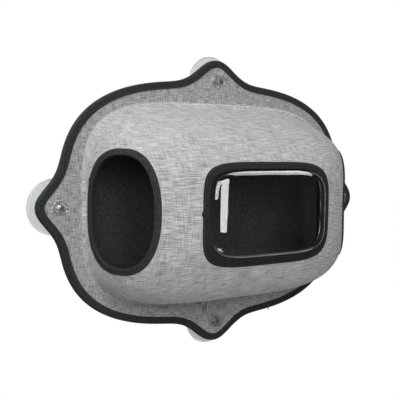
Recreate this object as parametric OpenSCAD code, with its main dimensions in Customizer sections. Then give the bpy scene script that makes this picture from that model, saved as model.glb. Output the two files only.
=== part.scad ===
// Window pod for a cat: a moulded foam dome on a four-tabbed flange, held to a pane by four suction cups.
// Frame: +Z up, the front faces -Y, the glass is the plane Y = 0 and the origin is midway between the cups.

/* [Dome] */
// Width of the dome where it meets the flange
dome_w = 520; // [480:1:560]
// Height of the dome where it meets the flange
dome_h = 340; // [320:1:370]
// Rise of the dome in front of the flange
dome_rise = 166; // [150:1:180]
// Radius of the fillet at the foot of the dome
foot_r = 6; // [4:0.5:9]

/* [Flange] */
// Reach of the side tabs' tips past the dome
side_tip_reach = 83; // [75:1:110]
// Reach of the top and bottom tabs' tips past the dome
end_tip_reach = 84; // [75:1:110]
// Reach of the flange past the dome's sides, without the tabs
side_reach = 44.5; // [38:0.5:55]
// Reach of the flange past the dome's top and bottom, without the tabs
end_reach = 44; // [38:0.5:55]
// Half width of a side tab, where its bulge has fallen to a third
side_tab_half = 41; // [34:1:55]
// Half width of the top and bottom tabs, where their bulge has fallen to a third
end_tab_half = 48; // [40:1:60]
// Distance of each stud from the tip of its tab
stud_inset = 38; // [34:1:46]

/* [Layers] */
// Thickness of the woven outer cover
cover_t = 0.8; // [0.6:0.1:1.2]
// Thickness of the moulded foam wall
foam_t = 4; // [3:0.5:7]
// Thickness of the dark inner lining
lining_t = 0.6; // [0.5:0.1:1]
// Thickness of the fabric facing on the cabin side of the back board
facing_t = 0.6; // [0.5:0.1:1]
// Thickness of the stiff back board
board_t = 3; // [2:0.5:5]
// Thickness of the fabric on the window side of the back board
backing_t = 0.6; // [0.5:0.1:1]

/* [Bindings] */
// Thickness of the folded binding tape
tape_t = 1.2; // [0.8:0.1:1.6]
// Width of the rim binding seen from the front
rim_tape_w = 13; // [9:0.5:16]
// Width of a porthole binding on the wall
porthole_tape_w = 11; // [8:0.5:14]
// Width of the window binding on the wall
window_tape_w = 14; // [11:0.5:17]

/* [Portholes] */
// Width of a porthole along the wall, outside its binding
porthole_w = 136; // [120:1:140]
// Height of a porthole, outside its binding
porthole_h = 199; // [170:1:206]
// Distance of a porthole's centre in front of the flange
porthole_out = 78; // [74:1:84]
// Drop of a porthole's centre below the middle of the dome
porthole_drop = 3.5; // [0:0.5:8]

/* [Bubble window] */
// Width of the window, outside its binding
window_w = 266; // [230:1:272]
// Height of the window, outside its binding
window_h = 170; // [150:1:176]
// Drop of the window's centre below the middle of the dome
window_drop = 8.5; // [4:0.5:12]
// Thickness of the clear bubble
bubble_t = 1.5; // [1:0.1:2.5]
// Rise of the bubble's face in front of the wall at its sides
bubble_rise = 25; // [18:1:32]

/* [Suction cups and knobs] */
// Radius of a suction cup
cup_r = 46; // [40:1:52]
// Radius inside a cup's flat contact rim
cup_seat_r = 38; // [32:1:39]
// Height of a cup from the glass to the top of its neck
cup_h = 11; // [10:0.5:14]
// Radius of a cup's neck
cup_neck_r = 12; // [10.5:0.5:14]
// Thickness of a cup at its edge
cup_edge_t = 1.5; // [1:0.1:2]
// Depth of the hollow under a pressed cup
cup_hollow = 2; // [1:0.5:2.5]
// Radius of a threaded stud
stud_r = 4; // [3:0.5:5]
// Radius of the head moulded into a cup's neck
stud_head_r = 8; // [7:0.5:9]
// Thickness of a stud's head
stud_head_t = 2; // [1.5:0.5:2.5]
// Length of stud in front of its front washer
stud_reach = 10; // [8:0.5:12]
// Pitch of the thread on a stud
thread_pitch = 1.5; // [1:0.25:2]
// Radius of a washer
washer_r = 13; // [12:0.5:15]
// Thickness of a washer
washer_t = 1.2; // [1:0.1:2]
// Radius of a knob's skirt
knob_r = 12; // [11:0.5:14]
// Radius of a knob's grip
grip_r = 10.5; // [9.5:0.5:12]
// Height of a knob
knob_h = 14; // [13:0.5:17]
// Height of a knob's skirt
skirt_h = 2.5; // [2:0.5:3.5]
// Radius of the finger flutes in a knob's grip
flute_r = 3; // [2:0.5:3.5]

/* [Hidden] */

// Gap left between layers that are glued or sewn together
bond_gap = 0.1;
// Gap between a moving face and its seat
seat_gap = 0.05;
// Radial clearance of a knob's thread on its stud
thread_clearance = 0.08;
// Radial clearance of a stud in the flange and washers
stud_clearance = 0.4;
// Clearance round the bubble where it passes through the window binding
bubble_gap = 1;
// Overrun of a cut past the face that it opens
overrun = 1;
// Plain land between a knob's skirt and its flutes
flute_land = 0.5;

// Sides round the dome, and twice as many round the flange
dome_sides = 72;
rim_sides = 2 * dome_sides;
dome_rings = 9;
hole_sides = 64;
bubble_rings = 7;
knob_flutes = 8;
$fn = 64;

// Powers of the superellipses: 2 is an ellipse, and more is squarer
flange_power = 3;
section_power = 4;
profile_power = 2.45;
porthole_power = 2.4;
window_power = 5;
bubble_power = 3.4;
tab_power = 2.15;

// Share of its height that the roof has lost at the front of the dome, and how it gathers
roof_drop_share = 0.22;
roof_drop_power = 0.75;
// Radius of the round at a knob's top, as a share of its height
knob_round_share = 1 / 7;
// Tilt of a porthole's axis from sideways towards the front
porthole_tilt = 31;
// Angles of the rings round the foot fillet
foot_angles = [0, 35, 70];

// Overall width and height of the flange, and the same without its tabs
flange_w = dome_w + 2 * side_tip_reach;
flange_h = dome_h + 2 * end_tip_reach;
flange_body_w = dome_w + 2 * side_reach;
flange_body_h = dome_h + 2 * end_reach;

// Depths below the front face of the flange, through its layers
foam_s = cover_t + bond_gap;
lining_s = foam_s + foam_t + bond_gap;
wall_s = lining_s + lining_t;
facing_s = wall_s + bond_gap;
board_s = facing_s + facing_t + bond_gap;
backing_s = board_s + board_t + bond_gap;
stack_s = backing_s + backing_t;

// Planes along Y, from the glass to the knobs
back_washer_y = -cup_h - seat_gap;
flange_back_y = back_washer_y - washer_t - seat_gap;
flange_y = flange_back_y - stack_s;
front_washer_y = flange_y - seat_gap;
knob_y = front_washer_y - washer_t - seat_gap;
stud_tip_y = front_washer_y - washer_t - stud_reach;
stud_head_y = -cup_h / 2;

// Places of the studs and cups
side_x = flange_w / 2 - stud_inset;
end_z = flange_h / 2 - stud_inset;

// Cut edges inside the bindings
rim_cut = tape_t + bond_gap;
porthole_cut = porthole_tape_w - tape_t - bond_gap;
window_cut = window_tape_w - tape_t - bond_gap;
bubble_inset = window_tape_w + bubble_gap;
bubble_s = wall_s + bond_gap + tape_t + bubble_gap;
bubble_lip = window_tape_w / 2;

function signed(value, amount) = value < 0 ? -amount : amount;

// Radius of a unit superellipse in the direction of an angle
function super_r(angle, power) = pow(pow(abs(cos(angle)), power) + pow(abs(sin(angle)), power), -1 / power);

// Point of a superellipse with half sizes w and h
function super_point(w, h, angle, power) =
    let (r = super_r(angle, power))
    [w * r * cos(angle), h * r * sin(angle)];

// Half height of the roof at a share of the dome's rise, as a share of its height at the foot
function roof_share(rise) = 1 - roof_drop_share * pow(rise, roof_drop_power);

// Half width of the dome at a distance in front of the flange
function half_width_at(out) = dome_w / 2 * pow(1 - pow(out / dome_rise, profile_power), 1 / profile_power);

// Profile angle at which the dome leaves its foot fillet
foot_angle = acos(foot_r / dome_rise);

// Point of the dome's layer at depth s. The profile angle is 0 at the front and 90 at the foot
function dome_point(angle, profile, s) =
    let (
        r = super_r(profile, profile_power),
        rise = r * cos(profile),
        span = r * sin(profile),
        roof = sin(angle) > 0 ? roof_share(rise) : 1,
        p = super_point(dome_w / 2 - s, dome_h / 2 - s, angle, section_power)
    )
    [p[0] * span, flange_y - (dome_rise - s) * rise, p[1] * span * roof];

// Point of the fillet at the foot of the dome, from 0 at the flange to 90 at the wall
function foot_point(angle, turn, s) =
    let (
        grow = foot_r - (foot_r + s) * sin(turn),
        p = super_point(dome_w / 2 + grow, dome_h / 2 + grow, angle, section_power)
    )
    [p[0], flange_y - foot_r + (foot_r + s) * cos(turn), p[1]];

// Point of the flange's outline, with a rounded tab bulging out at each end of both axes
function outline_point(angle) =
    let (
        p = super_point(flange_body_w / 2, flange_body_h / 2, angle, flange_power),
        side_bulge = (flange_w - flange_body_w) / 2 * exp(-pow(abs(p[1]) / side_tab_half, tab_power)),
        end_bulge = (flange_h - flange_body_h) / 2 * exp(-pow(abs(p[0]) / end_tab_half, tab_power))
    )
    [p[0] + signed(p[0], side_bulge), p[1] + signed(p[1], end_bulge)];

function unit(v) = v / norm(v);

// The flange's outline moved inwards, square to its own run
function rim_point(i, inset) =
    let (
        step = 360 / rim_sides,
        along = unit(outline_point((i + 1) * step) - outline_point((i - 1) * step)),
        p = outline_point(i * step)
    )
    [p[0] - inset * along[1], p[1] + inset * along[0]];

function rim_outline(inset) = [for (i = [0 : rim_sides - 1]) rim_point(i, inset)];

// Outlines of the holes in the wall, moved inwards
function hole_outline(w, h, power, inset) =
    [for (i = [0 : hole_sides - 1]) super_point(w / 2 - inset, h / 2 - inset, i * 360 / hole_sides, power)];

// Rings of one face of the dome's wall, from the top of its foot fillet to near its front
function dome_rows(s) = [
    for (k = [0 : dome_rings - 1])
        let (profile = foot_angle * (1 - k / dome_rings))
        [for (i = [0 : dome_sides - 1]) dome_point(i * 360 / dome_sides, profile, s)]
];

// Rings of one face of the foot fillet, from the flange up
function foot_rows(s) = [
    for (turn = foot_angles)
        [for (i = [0 : dome_sides - 1]) foot_point(i * 360 / dome_sides, turn, s)]
];

function flatten(lists) = [for (l = lists) each l];

// Triangles between two rings of n points that start at points a and b
function band(a, b, n) = [
    for (i = [0 : n - 1])
        let (j = (i + 1) % n)
        each [[a + i, b + i, a + j], [a + j, b + i, b + j]]
];

// Triangles between a ring of 2n points at a and a ring of n points at b
function double_band(a, b, n) = [
    for (i = [0 : n - 1])
        let (j = (i + 1) % n)
        each [
            [a + 2 * i, b + i, a + 2 * i + 1],
            [a + 2 * i + 1, b + i, b + j],
            [a + 2 * i + 1, b + j, a + 2 * j]
        ]
];

// Triangles from a ring of n points at a to one point
function fan(a, tip, n) = [for (i = [0 : n - 1]) [a + i, tip, a + (i + 1) % n]];

// Triangles of a stack of rings of n points, the first at a
function bands(a, rings, n) = [for (k = [0 : rings - 2]) each band(a + k * n, a + (k + 1) * n, n)];

// The same triangles, turned over and moved on by some points
function turned(faces, shift) = [for (f = faces) [f[2] + shift, f[1] + shift, f[0] + shift]];

// The pod's wall between two depths, dome and flange in one piece
module pod_wall(front, back) {
    rings = len(foot_angles) + dome_rings;
    foot = rim_sides;
    tip = foot + rings * dome_sides;
    skin = function (s) concat(
        [for (p = rim_outline(rim_cut)) [p[0], flange_y + s, p[1]]],
        flatten(foot_rows(s)),
        flatten(dome_rows(s)),
        [dome_point(0, 0, s)]
    );
    face = concat(
        double_band(0, foot, dome_sides),
        bands(foot, rings, dome_sides),
        fan(tip - dome_sides, tip, dome_sides)
    );
    polyhedron(
        points = concat(skin(front), skin(back)),
        faces = concat(face, turned(face, tip + 1), band(tip + 1, 0, rim_sides))
    );
}

// The dome's wall alone between two depths, without its foot
module dome_wall(front, back) {
    tip = dome_rings * dome_sides;
    skin = function (s) concat(flatten(dome_rows(s)), [dome_point(0, 0, s)]);
    face = concat(bands(0, dome_rings, dome_sides), fan(tip - dome_sides, tip, dome_sides));
    polyhedron(
        points = concat(skin(front), skin(back)),
        faces = concat(face, turned(face, tip + 1), band(tip + 1, 0, dome_sides))
    );
}

// Bar through the right porthole along its axis, moved inwards
module porthole_bar(inset) {
    translate([half_width_at(porthole_out), flange_y - porthole_out, -porthole_drop])
        rotate([0, 0, -porthole_tilt])
            rotate([90, 0, 90])
                linear_extrude(porthole_w, center = true)
                    polygon(hole_outline(porthole_w, porthole_h, porthole_power, inset));
}

// Bar through the window along Y, moved inwards
module window_bar(inset) {
    translate([0, flange_y - dome_rise / 2, -window_drop])
        rotate([90, 0, 0])
            linear_extrude(dome_rise)
                polygon(hole_outline(window_w, window_h, window_power, inset));
}

module holes() {
    porthole_bar(porthole_cut);
    mirror([1, 0, 0]) porthole_bar(porthole_cut);
    window_bar(window_cut);
}

// Copies of its children at the four studs
module at_studs() {
    for (x = [-side_x, side_x]) translate([x, 0, 0]) children();
    for (z = [-end_z, end_z]) translate([0, 0, z]) children();
}

// Solid of revolution about the Y axis, from [radius, distance in front of the glass] points
module turned_about_y(profile) {
    rotate([90, 0, 0]) rotate_extrude() polygon(profile);
}

// Round bar along Y from one plane forward to another
module y_bar(r, back, front) {
    translate([0, back, 0]) rotate([90, 0, 0]) cylinder(r = r, h = back - front);
}

module stud_holes() {
    at_studs() y_bar(stud_r + stud_clearance, flange_back_y + overrun, flange_y - overrun);
}

module flat_layer(s, t) {
    difference() {
        translate([0, flange_y + s + t, 0])
            rotate([90, 0, 0])
                linear_extrude(t) polygon(rim_outline(rim_cut));
        stud_holes();
    }
}

module wall_layer(s, t) {
    difference() {
        pod_wall(s, s + t);
        holes();
        stud_holes();
    }
}

module outer_cover() { color("darkgray") wall_layer(0, cover_t); }
module foam_shell() { color("dimgray") wall_layer(foam_s, foam_t); }
module inner_lining() { color([0.13, 0.13, 0.14]) wall_layer(lining_s, lining_t); }
module back_facing() { color([0.13, 0.13, 0.14]) flat_layer(facing_s, facing_t); }
module back_board() { color("slategray") flat_layer(board_s, board_t); }
module back_cover() { color([0.16, 0.16, 0.17]) flat_layer(backing_s, backing_t); }

// Tape folded round the flange's edge
module rim_binding() {
    front = -bond_gap - tape_t;
    back = stack_s + bond_gap + tape_t;
    // Section of the tape as [distance inwards, depth] points
    section = [
        [rim_tape_w, front + tape_t], [rim_tape_w, front], [tape_t, front], [0, front + tape_t],
        [0, back - tape_t], [tape_t, back], [rim_tape_w, back], [rim_tape_w, back - tape_t],
        [tape_t, back - tape_t], [tape_t, front + tape_t]
    ];
    n = len(section);
    points = [
        for (i = [0 : rim_sides - 1])
            for (c = section)
                let (p = rim_point(i, c[0]))
                [p[0], flange_y + c[1], p[1]]
    ];
    faces = [
        for (i = [0 : rim_sides - 1])
            each band(i * n, (i + 1) % rim_sides * n, n)
    ];
    color([0.2, 0.2, 0.2]) polyhedron(points = points, faces = faces);
}

// Tape folded round the cut edge of a hole. Its children are the hole's bar three times:
// at the tape's outer edge, at the cut edge and at the tape's inner edge
module hole_binding() {
    color([0.2, 0.2, 0.2])
        difference() {
            intersection() {
                dome_wall(-bond_gap - tape_t, wall_s + bond_gap + tape_t);
                children(0);
            }
            difference() {
                dome_wall(-bond_gap, wall_s + bond_gap);
                children(1);
            }
            children(2);
        }
}

module right_porthole_binding() {
    hole_binding() {
        porthole_bar(0);
        porthole_bar(porthole_cut + bond_gap);
        porthole_bar(porthole_tape_w);
    }
}

module left_porthole_binding() {
    mirror([1, 0, 0]) right_porthole_binding();
}

module window_binding() {
    hole_binding() {
        window_bar(0);
        window_bar(window_cut + bond_gap);
        window_bar(window_tape_w);
    }
}

// Distance of the dome's layer s in front of the flange at a place, found by repeated steps
function dome_out(x, z, s, steps = 6, rise = 1) =
    let (
        roof = z > 0 ? roof_share(rise) : 1,
        u = pow(abs(x) / (dome_w / 2 - s), section_power),
        v = pow(abs(z) / (dome_h / 2 - s) / roof, section_power),
        next = pow(1 - pow(u + v, profile_power / section_power), 1 / profile_power)
    )
    steps == 0 ? (dome_rise - s) * rise : dome_out(x, z, s, steps - 1, next);

// Clear bubble: a lip sewn behind the window binding, and a face blown forward through it
module bubble_window() {
    base_w = window_w / 2 - bubble_inset;
    base_h = window_h / 2 - bubble_inset;
    face_out = dome_out(base_w, -window_drop, 0) + bubble_rise;
    ring = function (w, h, lift, s)
        [for (i = [0 : hole_sides - 1])
            let (
                angle = i * 360 / hole_sides,
                p = super_point(w, h, angle, window_power),
                foot = super_point(base_w, base_h, angle, window_power),
                at = lift > 0 ? foot : p,
                base = dome_out(at[0], at[1] - window_drop, bubble_s + s)
            )
            [p[0], flange_y - base - lift * (face_out - s - base), p[1] - window_drop]];
    skin = function (s) concat(
        ring(base_w + bubble_lip, base_h + bubble_lip, 0, s),
        [for (k = [0 : bubble_rings - 1])
            let (
                turn = 90 * k / bubble_rings,
                r = super_r(turn, bubble_power),
                w = base_w - s,
                h = base_h - s
            )
            each ring(w * r * cos(turn), h * r * cos(turn), r * sin(turn), s)],
        [[0, flange_y - face_out + s, -window_drop]]
    );
    tip = (bubble_rings + 1) * hole_sides;
    face = concat(bands(0, bubble_rings + 1, hole_sides), fan(tip - hole_sides, tip, hole_sides));
    color([0.85, 0.88, 0.9, 0.35])
        polyhedron(
            points = concat(skin(0), skin(bubble_t)),
            faces = concat(face, turned(face, tip + 1), band(tip + 1, 0, hole_sides))
        );
}

// Pressed suction cup with a neck that holds the head of its stud
module suction_cup() {
    head_r = stud_head_r + bond_gap;
    head_front = -stud_head_y + stud_head_t / 2 + bond_gap;
    head_back = -stud_head_y - stud_head_t / 2 - bond_gap;
    color([0.8, 0.84, 0.83, 0.5])
        turned_about_y([
            [0, cup_hollow], [cup_seat_r, 0], [cup_r, 0], [cup_r, cup_edge_t],
            [cup_neck_r + cup_edge_t, cup_h / 2], [cup_neck_r, cup_h / 2 + cup_edge_t], [cup_neck_r, cup_h],
            [stud_r + bond_gap, cup_h], [stud_r + bond_gap, head_front], [head_r, head_front],
            [head_r, head_back], [0, head_back]
        ]);
}

module stud() {
    color([0.85, 0.86, 0.86, 0.8]) {
        y_bar(stud_r, stud_head_y, stud_tip_y);
        y_bar(stud_head_r, stud_head_y + stud_head_t / 2, stud_head_y - stud_head_t / 2);
    }
}

module washer(back) {
    color([0.85, 0.88, 0.9, 0.5])
        difference() {
            y_bar(washer_r, back, back - washer_t);
            y_bar(stud_r + stud_clearance, back + overrun, back - washer_t - overrun);
        }
}

module back_washer() { washer(back_washer_y); }
module front_washer() { washer(front_washer_y); }

// Clear knob: a skirt, a fluted grip with a rounded top, and a blind threaded bore
module knob() {
    top = knob_y - knob_h;
    flute_y = knob_y - skirt_h - knob_r + grip_r - flute_land;
    round_r = knob_h * knob_round_share;
    color([0.85, 0.88, 0.9, 0.5])
        difference() {
            translate([0, knob_y, 0])
                turned_about_y([
                    [0, 0], [knob_r, 0], [knob_r, skirt_h], [grip_r, skirt_h + knob_r - grip_r],
                    [grip_r, knob_h - round_r],
                    each [for (turn = [15 : 15 : 75])
                        [grip_r - round_r * (1 - cos(turn)), knob_h - round_r * (1 - sin(turn))]],
                    [grip_r - round_r, knob_h], [0, knob_h]
                ]);
            y_bar(stud_r + thread_clearance, knob_y + overrun, stud_tip_y - thread_pitch);
            for (i = [0 : knob_flutes - 1])
                rotate([0, i * 360 / knob_flutes, 0])
                    translate([grip_r + flute_r / 2, 0, 0])
                        y_bar(flute_r, flute_y, top - overrun);
        }
}

module at_top() { translate([0, 0, end_z]) children(); }
module at_bottom() { translate([0, 0, -end_z]) children(); }
module at_left() { translate([-side_x, 0, 0]) children(); }
module at_right() { translate([side_x, 0, 0]) children(); }

outer_cover();
foam_shell();
inner_lining();
back_facing();
back_board();
back_cover();
rim_binding();
left_porthole_binding();
right_porthole_binding();
window_binding();
bubble_window();
at_top() suction_cup();  // top_suction_cup
at_top() stud();  // top_stud
at_top() back_washer();  // top_back_washer
at_top() front_washer();  // top_front_washer
at_top() knob();  // top_knob
at_bottom() suction_cup();  // bottom_suction_cup
at_bottom() stud();  // bottom_stud
at_bottom() back_washer();  // bottom_back_washer
at_bottom() front_washer();  // bottom_front_washer
at_bottom() knob();  // bottom_knob
at_left() suction_cup();  // left_suction_cup
at_left() stud();  // left_stud
at_left() back_washer();  // left_back_washer
at_left() front_washer();  // left_front_washer
at_left() knob();  // left_knob
at_right() suction_cup();  // right_suction_cup
at_right() stud();  // right_stud
at_right() back_washer();  // right_back_washer
at_right() front_washer();  // right_front_washer
at_right() knob();  // right_knob
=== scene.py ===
"""Looks of a window mounted pet perch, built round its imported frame.

A moulded foam dome stands on a flat flange with a tab at each end of both axes. Grey heather cloth
covers it, dark tape binds its edges and holes, a clear bubble closes its window, and at each tab a
clear suction cup's stud goes through the flange to a washer and a clear knob.
"""

import logging
import math
from collections.abc import Callable, Sequence
from dataclasses import dataclass
from enum import Enum

import bmesh
import bpy
import numpy as np
from mathutils import Matrix, Vector


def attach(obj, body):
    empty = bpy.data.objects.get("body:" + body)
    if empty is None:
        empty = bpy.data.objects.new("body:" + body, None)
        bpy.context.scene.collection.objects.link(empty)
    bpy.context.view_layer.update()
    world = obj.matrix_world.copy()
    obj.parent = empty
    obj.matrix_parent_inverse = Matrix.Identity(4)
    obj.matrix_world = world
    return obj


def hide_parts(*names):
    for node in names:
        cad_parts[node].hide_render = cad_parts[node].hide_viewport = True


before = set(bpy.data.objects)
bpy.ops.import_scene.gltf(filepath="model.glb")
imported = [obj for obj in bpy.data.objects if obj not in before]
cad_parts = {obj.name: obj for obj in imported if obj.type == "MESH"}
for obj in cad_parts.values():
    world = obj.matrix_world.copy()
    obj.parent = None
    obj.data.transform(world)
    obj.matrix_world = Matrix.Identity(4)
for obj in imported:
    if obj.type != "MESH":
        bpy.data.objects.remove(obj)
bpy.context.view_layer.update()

LOG = logging.getLogger("pod")
MM = 0.001
TURN = 2 * math.pi
BODY = "pod"
CLOTH_MAP = "cloth"
BISECT_STEPS = 44
MERGE_DISTANCE = 0.01 * MM
SHEET_SMOOTH = 50
ROUND_SMOOTH = 60
UP = np.array((0, 0, 1))

Array = np.ndarray
Object = bpy.types.Object
Material = bpy.types.Material
Socket = bpy.types.NodeSocket
Sockets = bpy.types.bpy_prop_collection
Triple = tuple[float, float, float]
Colour = tuple[float, float, float, float]
Faces = list[tuple[int, ...]]
Length = float | Array


class Side(Enum):
    """The four tabs, with the direction from the middle of the pod to each in X and Z."""

    TOP = (0, 1)
    BOTTOM = (0, -1)
    LEFT = (-1, 0)
    RIGHT = (1, 0)


class Held(Enum):
    """How a sheet of cloth is held."""

    STRETCHED = "stretched"
    FOLDED = "folded"


class Slot(Enum):
    """Material slots of the record."""

    COVER = "heather_fabric"
    FOAM = "foam"
    LINING = "dark_lining"
    TAPE = "binding_tape"
    BUBBLE = "clear_bubble"
    CUP = "cup_vinyl"
    STUD = "stud_nylon"
    WASHER = "clear_washer"
    KNOB = "clear_knob"


def round_turn(count: int) -> Array:
    """Gives evenly spaced angles of one turn, from 0."""
    return np.arange(count) / count * TURN


def super_r(angle: Array, power: float) -> Array:
    """Gives the radius of a unit superellipse in each direction, where power 2 is a circle."""
    return (np.abs(np.cos(angle)) ** power + np.abs(np.sin(angle)) ** power) ** (-1 / power)


def super_point(w: float, h: float, angle: Array, power: float) -> Array:
    """Gives points of a superellipse of half width w and half height h, in rows of two."""
    r = super_r(angle, power)
    return np.stack([w * r * np.cos(angle), h * r * np.sin(angle)], -1)


def bisect(low: Array, high: Array, above: Callable[[Array], Array]) -> Array:
    """Finds where a rising function turns positive.

    Args:
        low: Places where it is negative.
        high: Places where it is positive.
        above: Says where the function is positive.

    Returns:
        The places of the change.
    """
    for _ in range(BISECT_STEPS):
        middle = (low + high) / 2
        over = above(middle)
        high = np.where(over, middle, high)
        low = np.where(over, low, middle)
    return (low + high) / 2


def run_lengths(line: Array) -> Array:
    """Gives the distance along a closed line at each point, and its whole length last."""
    steps = np.linalg.norm(np.roll(line, -1, 0) - line, axis=1)
    return np.concatenate([[0], np.cumsum(steps)])


@dataclass(frozen=True)
class PodShape:
    """Sizes and surfaces of the moulded pod, the same as the frame's, in metres.

    A depth is measured inwards from the front face of the cover.
    """

    dome_w: float = 520 * MM
    dome_h: float = 340 * MM
    dome_rise: float = 166 * MM
    foot_r: float = 6 * MM
    side_tip_reach: float = 83 * MM
    end_tip_reach: float = 84 * MM
    side_reach: float = 44.5 * MM
    end_reach: float = 44 * MM
    side_tab_half: float = 41 * MM
    end_tab_half: float = 48 * MM
    stud_inset: float = 38 * MM
    cover_t: float = 0.8 * MM
    foam_t: float = 4 * MM
    lining_t: float = 0.6 * MM
    board_t: float = 3 * MM
    tape_t: float = 1.2 * MM
    bond_gap: float = 0.1 * MM
    rim_cut: float = 1.3 * MM
    flange_y: float = -22.4 * MM
    flange_power: float = 3
    section_power: float = 4
    profile_power: float = 2.45
    tab_power: float = 2.15
    roof_drop_share: float = 0.22
    roof_drop_power: float = 0.75
    outline_step: float = TURN / 720

    @property
    def foam_s(self) -> float:
        """Depth of the foam's front face."""
        return self.cover_t + self.bond_gap

    @property
    def lining_s(self) -> float:
        """Depth of the lining's outer face."""
        return self.foam_s + self.foam_t + self.bond_gap

    @property
    def wall_s(self) -> float:
        """Depth of the wall's inner face."""
        return self.lining_s + self.lining_t

    @property
    def facing_s(self) -> float:
        """Depth of the facing on the board."""
        return self.wall_s + self.bond_gap

    @property
    def backing_s(self) -> float:
        """Depth of the cloth behind the board."""
        return self.facing_s + self.lining_t + self.bond_gap + self.board_t + self.bond_gap

    @property
    def stack_s(self) -> float:
        """Depth of the flange's back."""
        return self.backing_s + self.lining_t

    @property
    def foot_angle(self) -> float:
        """Profile angle at which the dome leaves its foot fillet."""
        return math.acos(self.foot_r / self.dome_rise)

    def stud(self, side: Side) -> Vector:
        """Gives the place of a stud's axis on the glass.

        Args:
            side: The stud's tab.

        Returns:
            The place.
        """
        x = self.dome_w / 2 + self.side_tip_reach - self.stud_inset
        z = self.dome_h / 2 + self.end_tip_reach - self.stud_inset
        return Vector((side.value[0] * x, 0, side.value[1] * z))

    def tab(self, tip: float, reach: float, across: Array, half: float) -> Array:
        """Gives how far a tab stands out from the plain outline at distances across it."""
        return (tip - reach) * np.exp(-np.abs(across / half) ** self.tab_power)

    def outline(self, angle: Array) -> Array:
        """Gives points of the flange's outline.

        Args:
            angle: Directions from the middle, in radians.

        Returns:
            Points in X and Z.
        """
        p = super_point(self.dome_w / 2 + self.side_reach, self.dome_h / 2 + self.end_reach, angle,
                        self.flange_power)
        side = self.tab(self.side_tip_reach, self.side_reach, p[:, 1], self.side_tab_half)
        end = self.tab(self.end_tip_reach, self.end_reach, p[:, 0], self.end_tab_half)
        return p + np.sign(p) * np.stack([side, end], -1)

    def rim(self, count: int, inset: Length) -> Array:
        """Gives the flange's outline moved inwards, square to its own run.

        Args:
            count: How many points it has.
            inset: How far it is moved, all round or at each point.

        Returns:
            Points in X and Z.
        """
        angle = round_turn(count)
        along = self.outline(angle + self.outline_step) - self.outline(angle - self.outline_step)
        along /= np.linalg.norm(along, axis=1)[:, None]
        inwards = np.stack([-along[:, 1], along[:, 0]], -1)
        return self.outline(angle) + np.broadcast_to(inset, count)[:, None] * inwards

    def roof(self, rise: Array) -> Array:
        """Gives the roof's half height at a share of the rise, as a share of that at the foot."""
        return 1 - self.roof_drop_share * np.maximum(rise, 0) ** self.roof_drop_power

    def dome(self, angle: Array, profile: Array, depth: float) -> Array:
        """Gives points of the dome.

        Args:
            angle: Directions round the front, in radians.
            profile: Profile angles, 0 at the front and a quarter turn at the foot.
            depth: Depth of the surface.

        Returns:
            Points in X, Y and Z.
        """
        r = super_r(profile, self.profile_power)
        rise, span = r * np.cos(profile), r * np.sin(profile)
        roof = np.where(np.sin(angle) > 0, self.roof(rise), 1)
        p = super_point(self.dome_w / 2 - depth, self.dome_h / 2 - depth, angle, self.section_power)
        return np.stack([p[:, 0] * span, self.flange_y - (self.dome_rise - depth) * rise,
                         p[:, 1] * span * roof], -1)

    def foot(self, angle: Array, turn: float, depth: float) -> Array:
        """Gives points of the fillet at the dome's foot.

        Args:
            angle: Directions round the front, in radians.
            turn: Turn of the fillet, 0 at the flange and a quarter turn at the wall.
            depth: Depth of the surface.

        Returns:
            Points in X, Y and Z.
        """
        grow = self.foot_r - (self.foot_r + depth) * math.sin(turn)
        p = super_point(self.dome_w / 2 + grow, self.dome_h / 2 + grow, angle, self.section_power)
        y = self.flange_y - self.foot_r + (self.foot_r + depth) * math.cos(turn)
        return np.stack([p[:, 0], np.full(len(p), y), p[:, 1]], -1)

    def beyond(self, points: Array, depth: Length) -> Array:
        """Says how far points are outside a layer of the dome.

        Args:
            points: The points in X, Y and Z.
            depth: Depth of the layer, for all or at each point.

        Returns:
            A number for each point, below zero inside the layer.
        """
        rise = np.maximum(self.flange_y - points[:, 1], 0) / (self.dome_rise - depth)
        roof = np.where(points[:, 2] > 0, self.roof(rise), 1)
        u = np.abs(points[:, 0]) / (self.dome_w / 2 - depth)
        v = np.abs(points[:, 2]) / ((self.dome_h / 2 - depth) * roof)
        power = self.section_power
        span = (u ** power + v ** power) ** (self.profile_power / power)
        return span + rise ** self.profile_power - 1

    def front_y(self, x: Array, z: Array, depth: float) -> Array:
        """Finds a layer of the dome in front of places in X and Z.

        Args:
            x: The places' X.
            z: Their Z.
            depth: Depth of the layer.

        Returns:
            Y of the layer at each place, or the flange's where the dome has ended.
        """
        def above(out: Array) -> Array:
            """Says where the point at that distance is outside the dome."""
            return self.beyond(np.stack([x, self.flange_y - out, z], -1), depth) > 0

        return self.flange_y - bisect(np.zeros(len(x)), np.full(len(x), self.dome_rise * 1.1), above)


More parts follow.
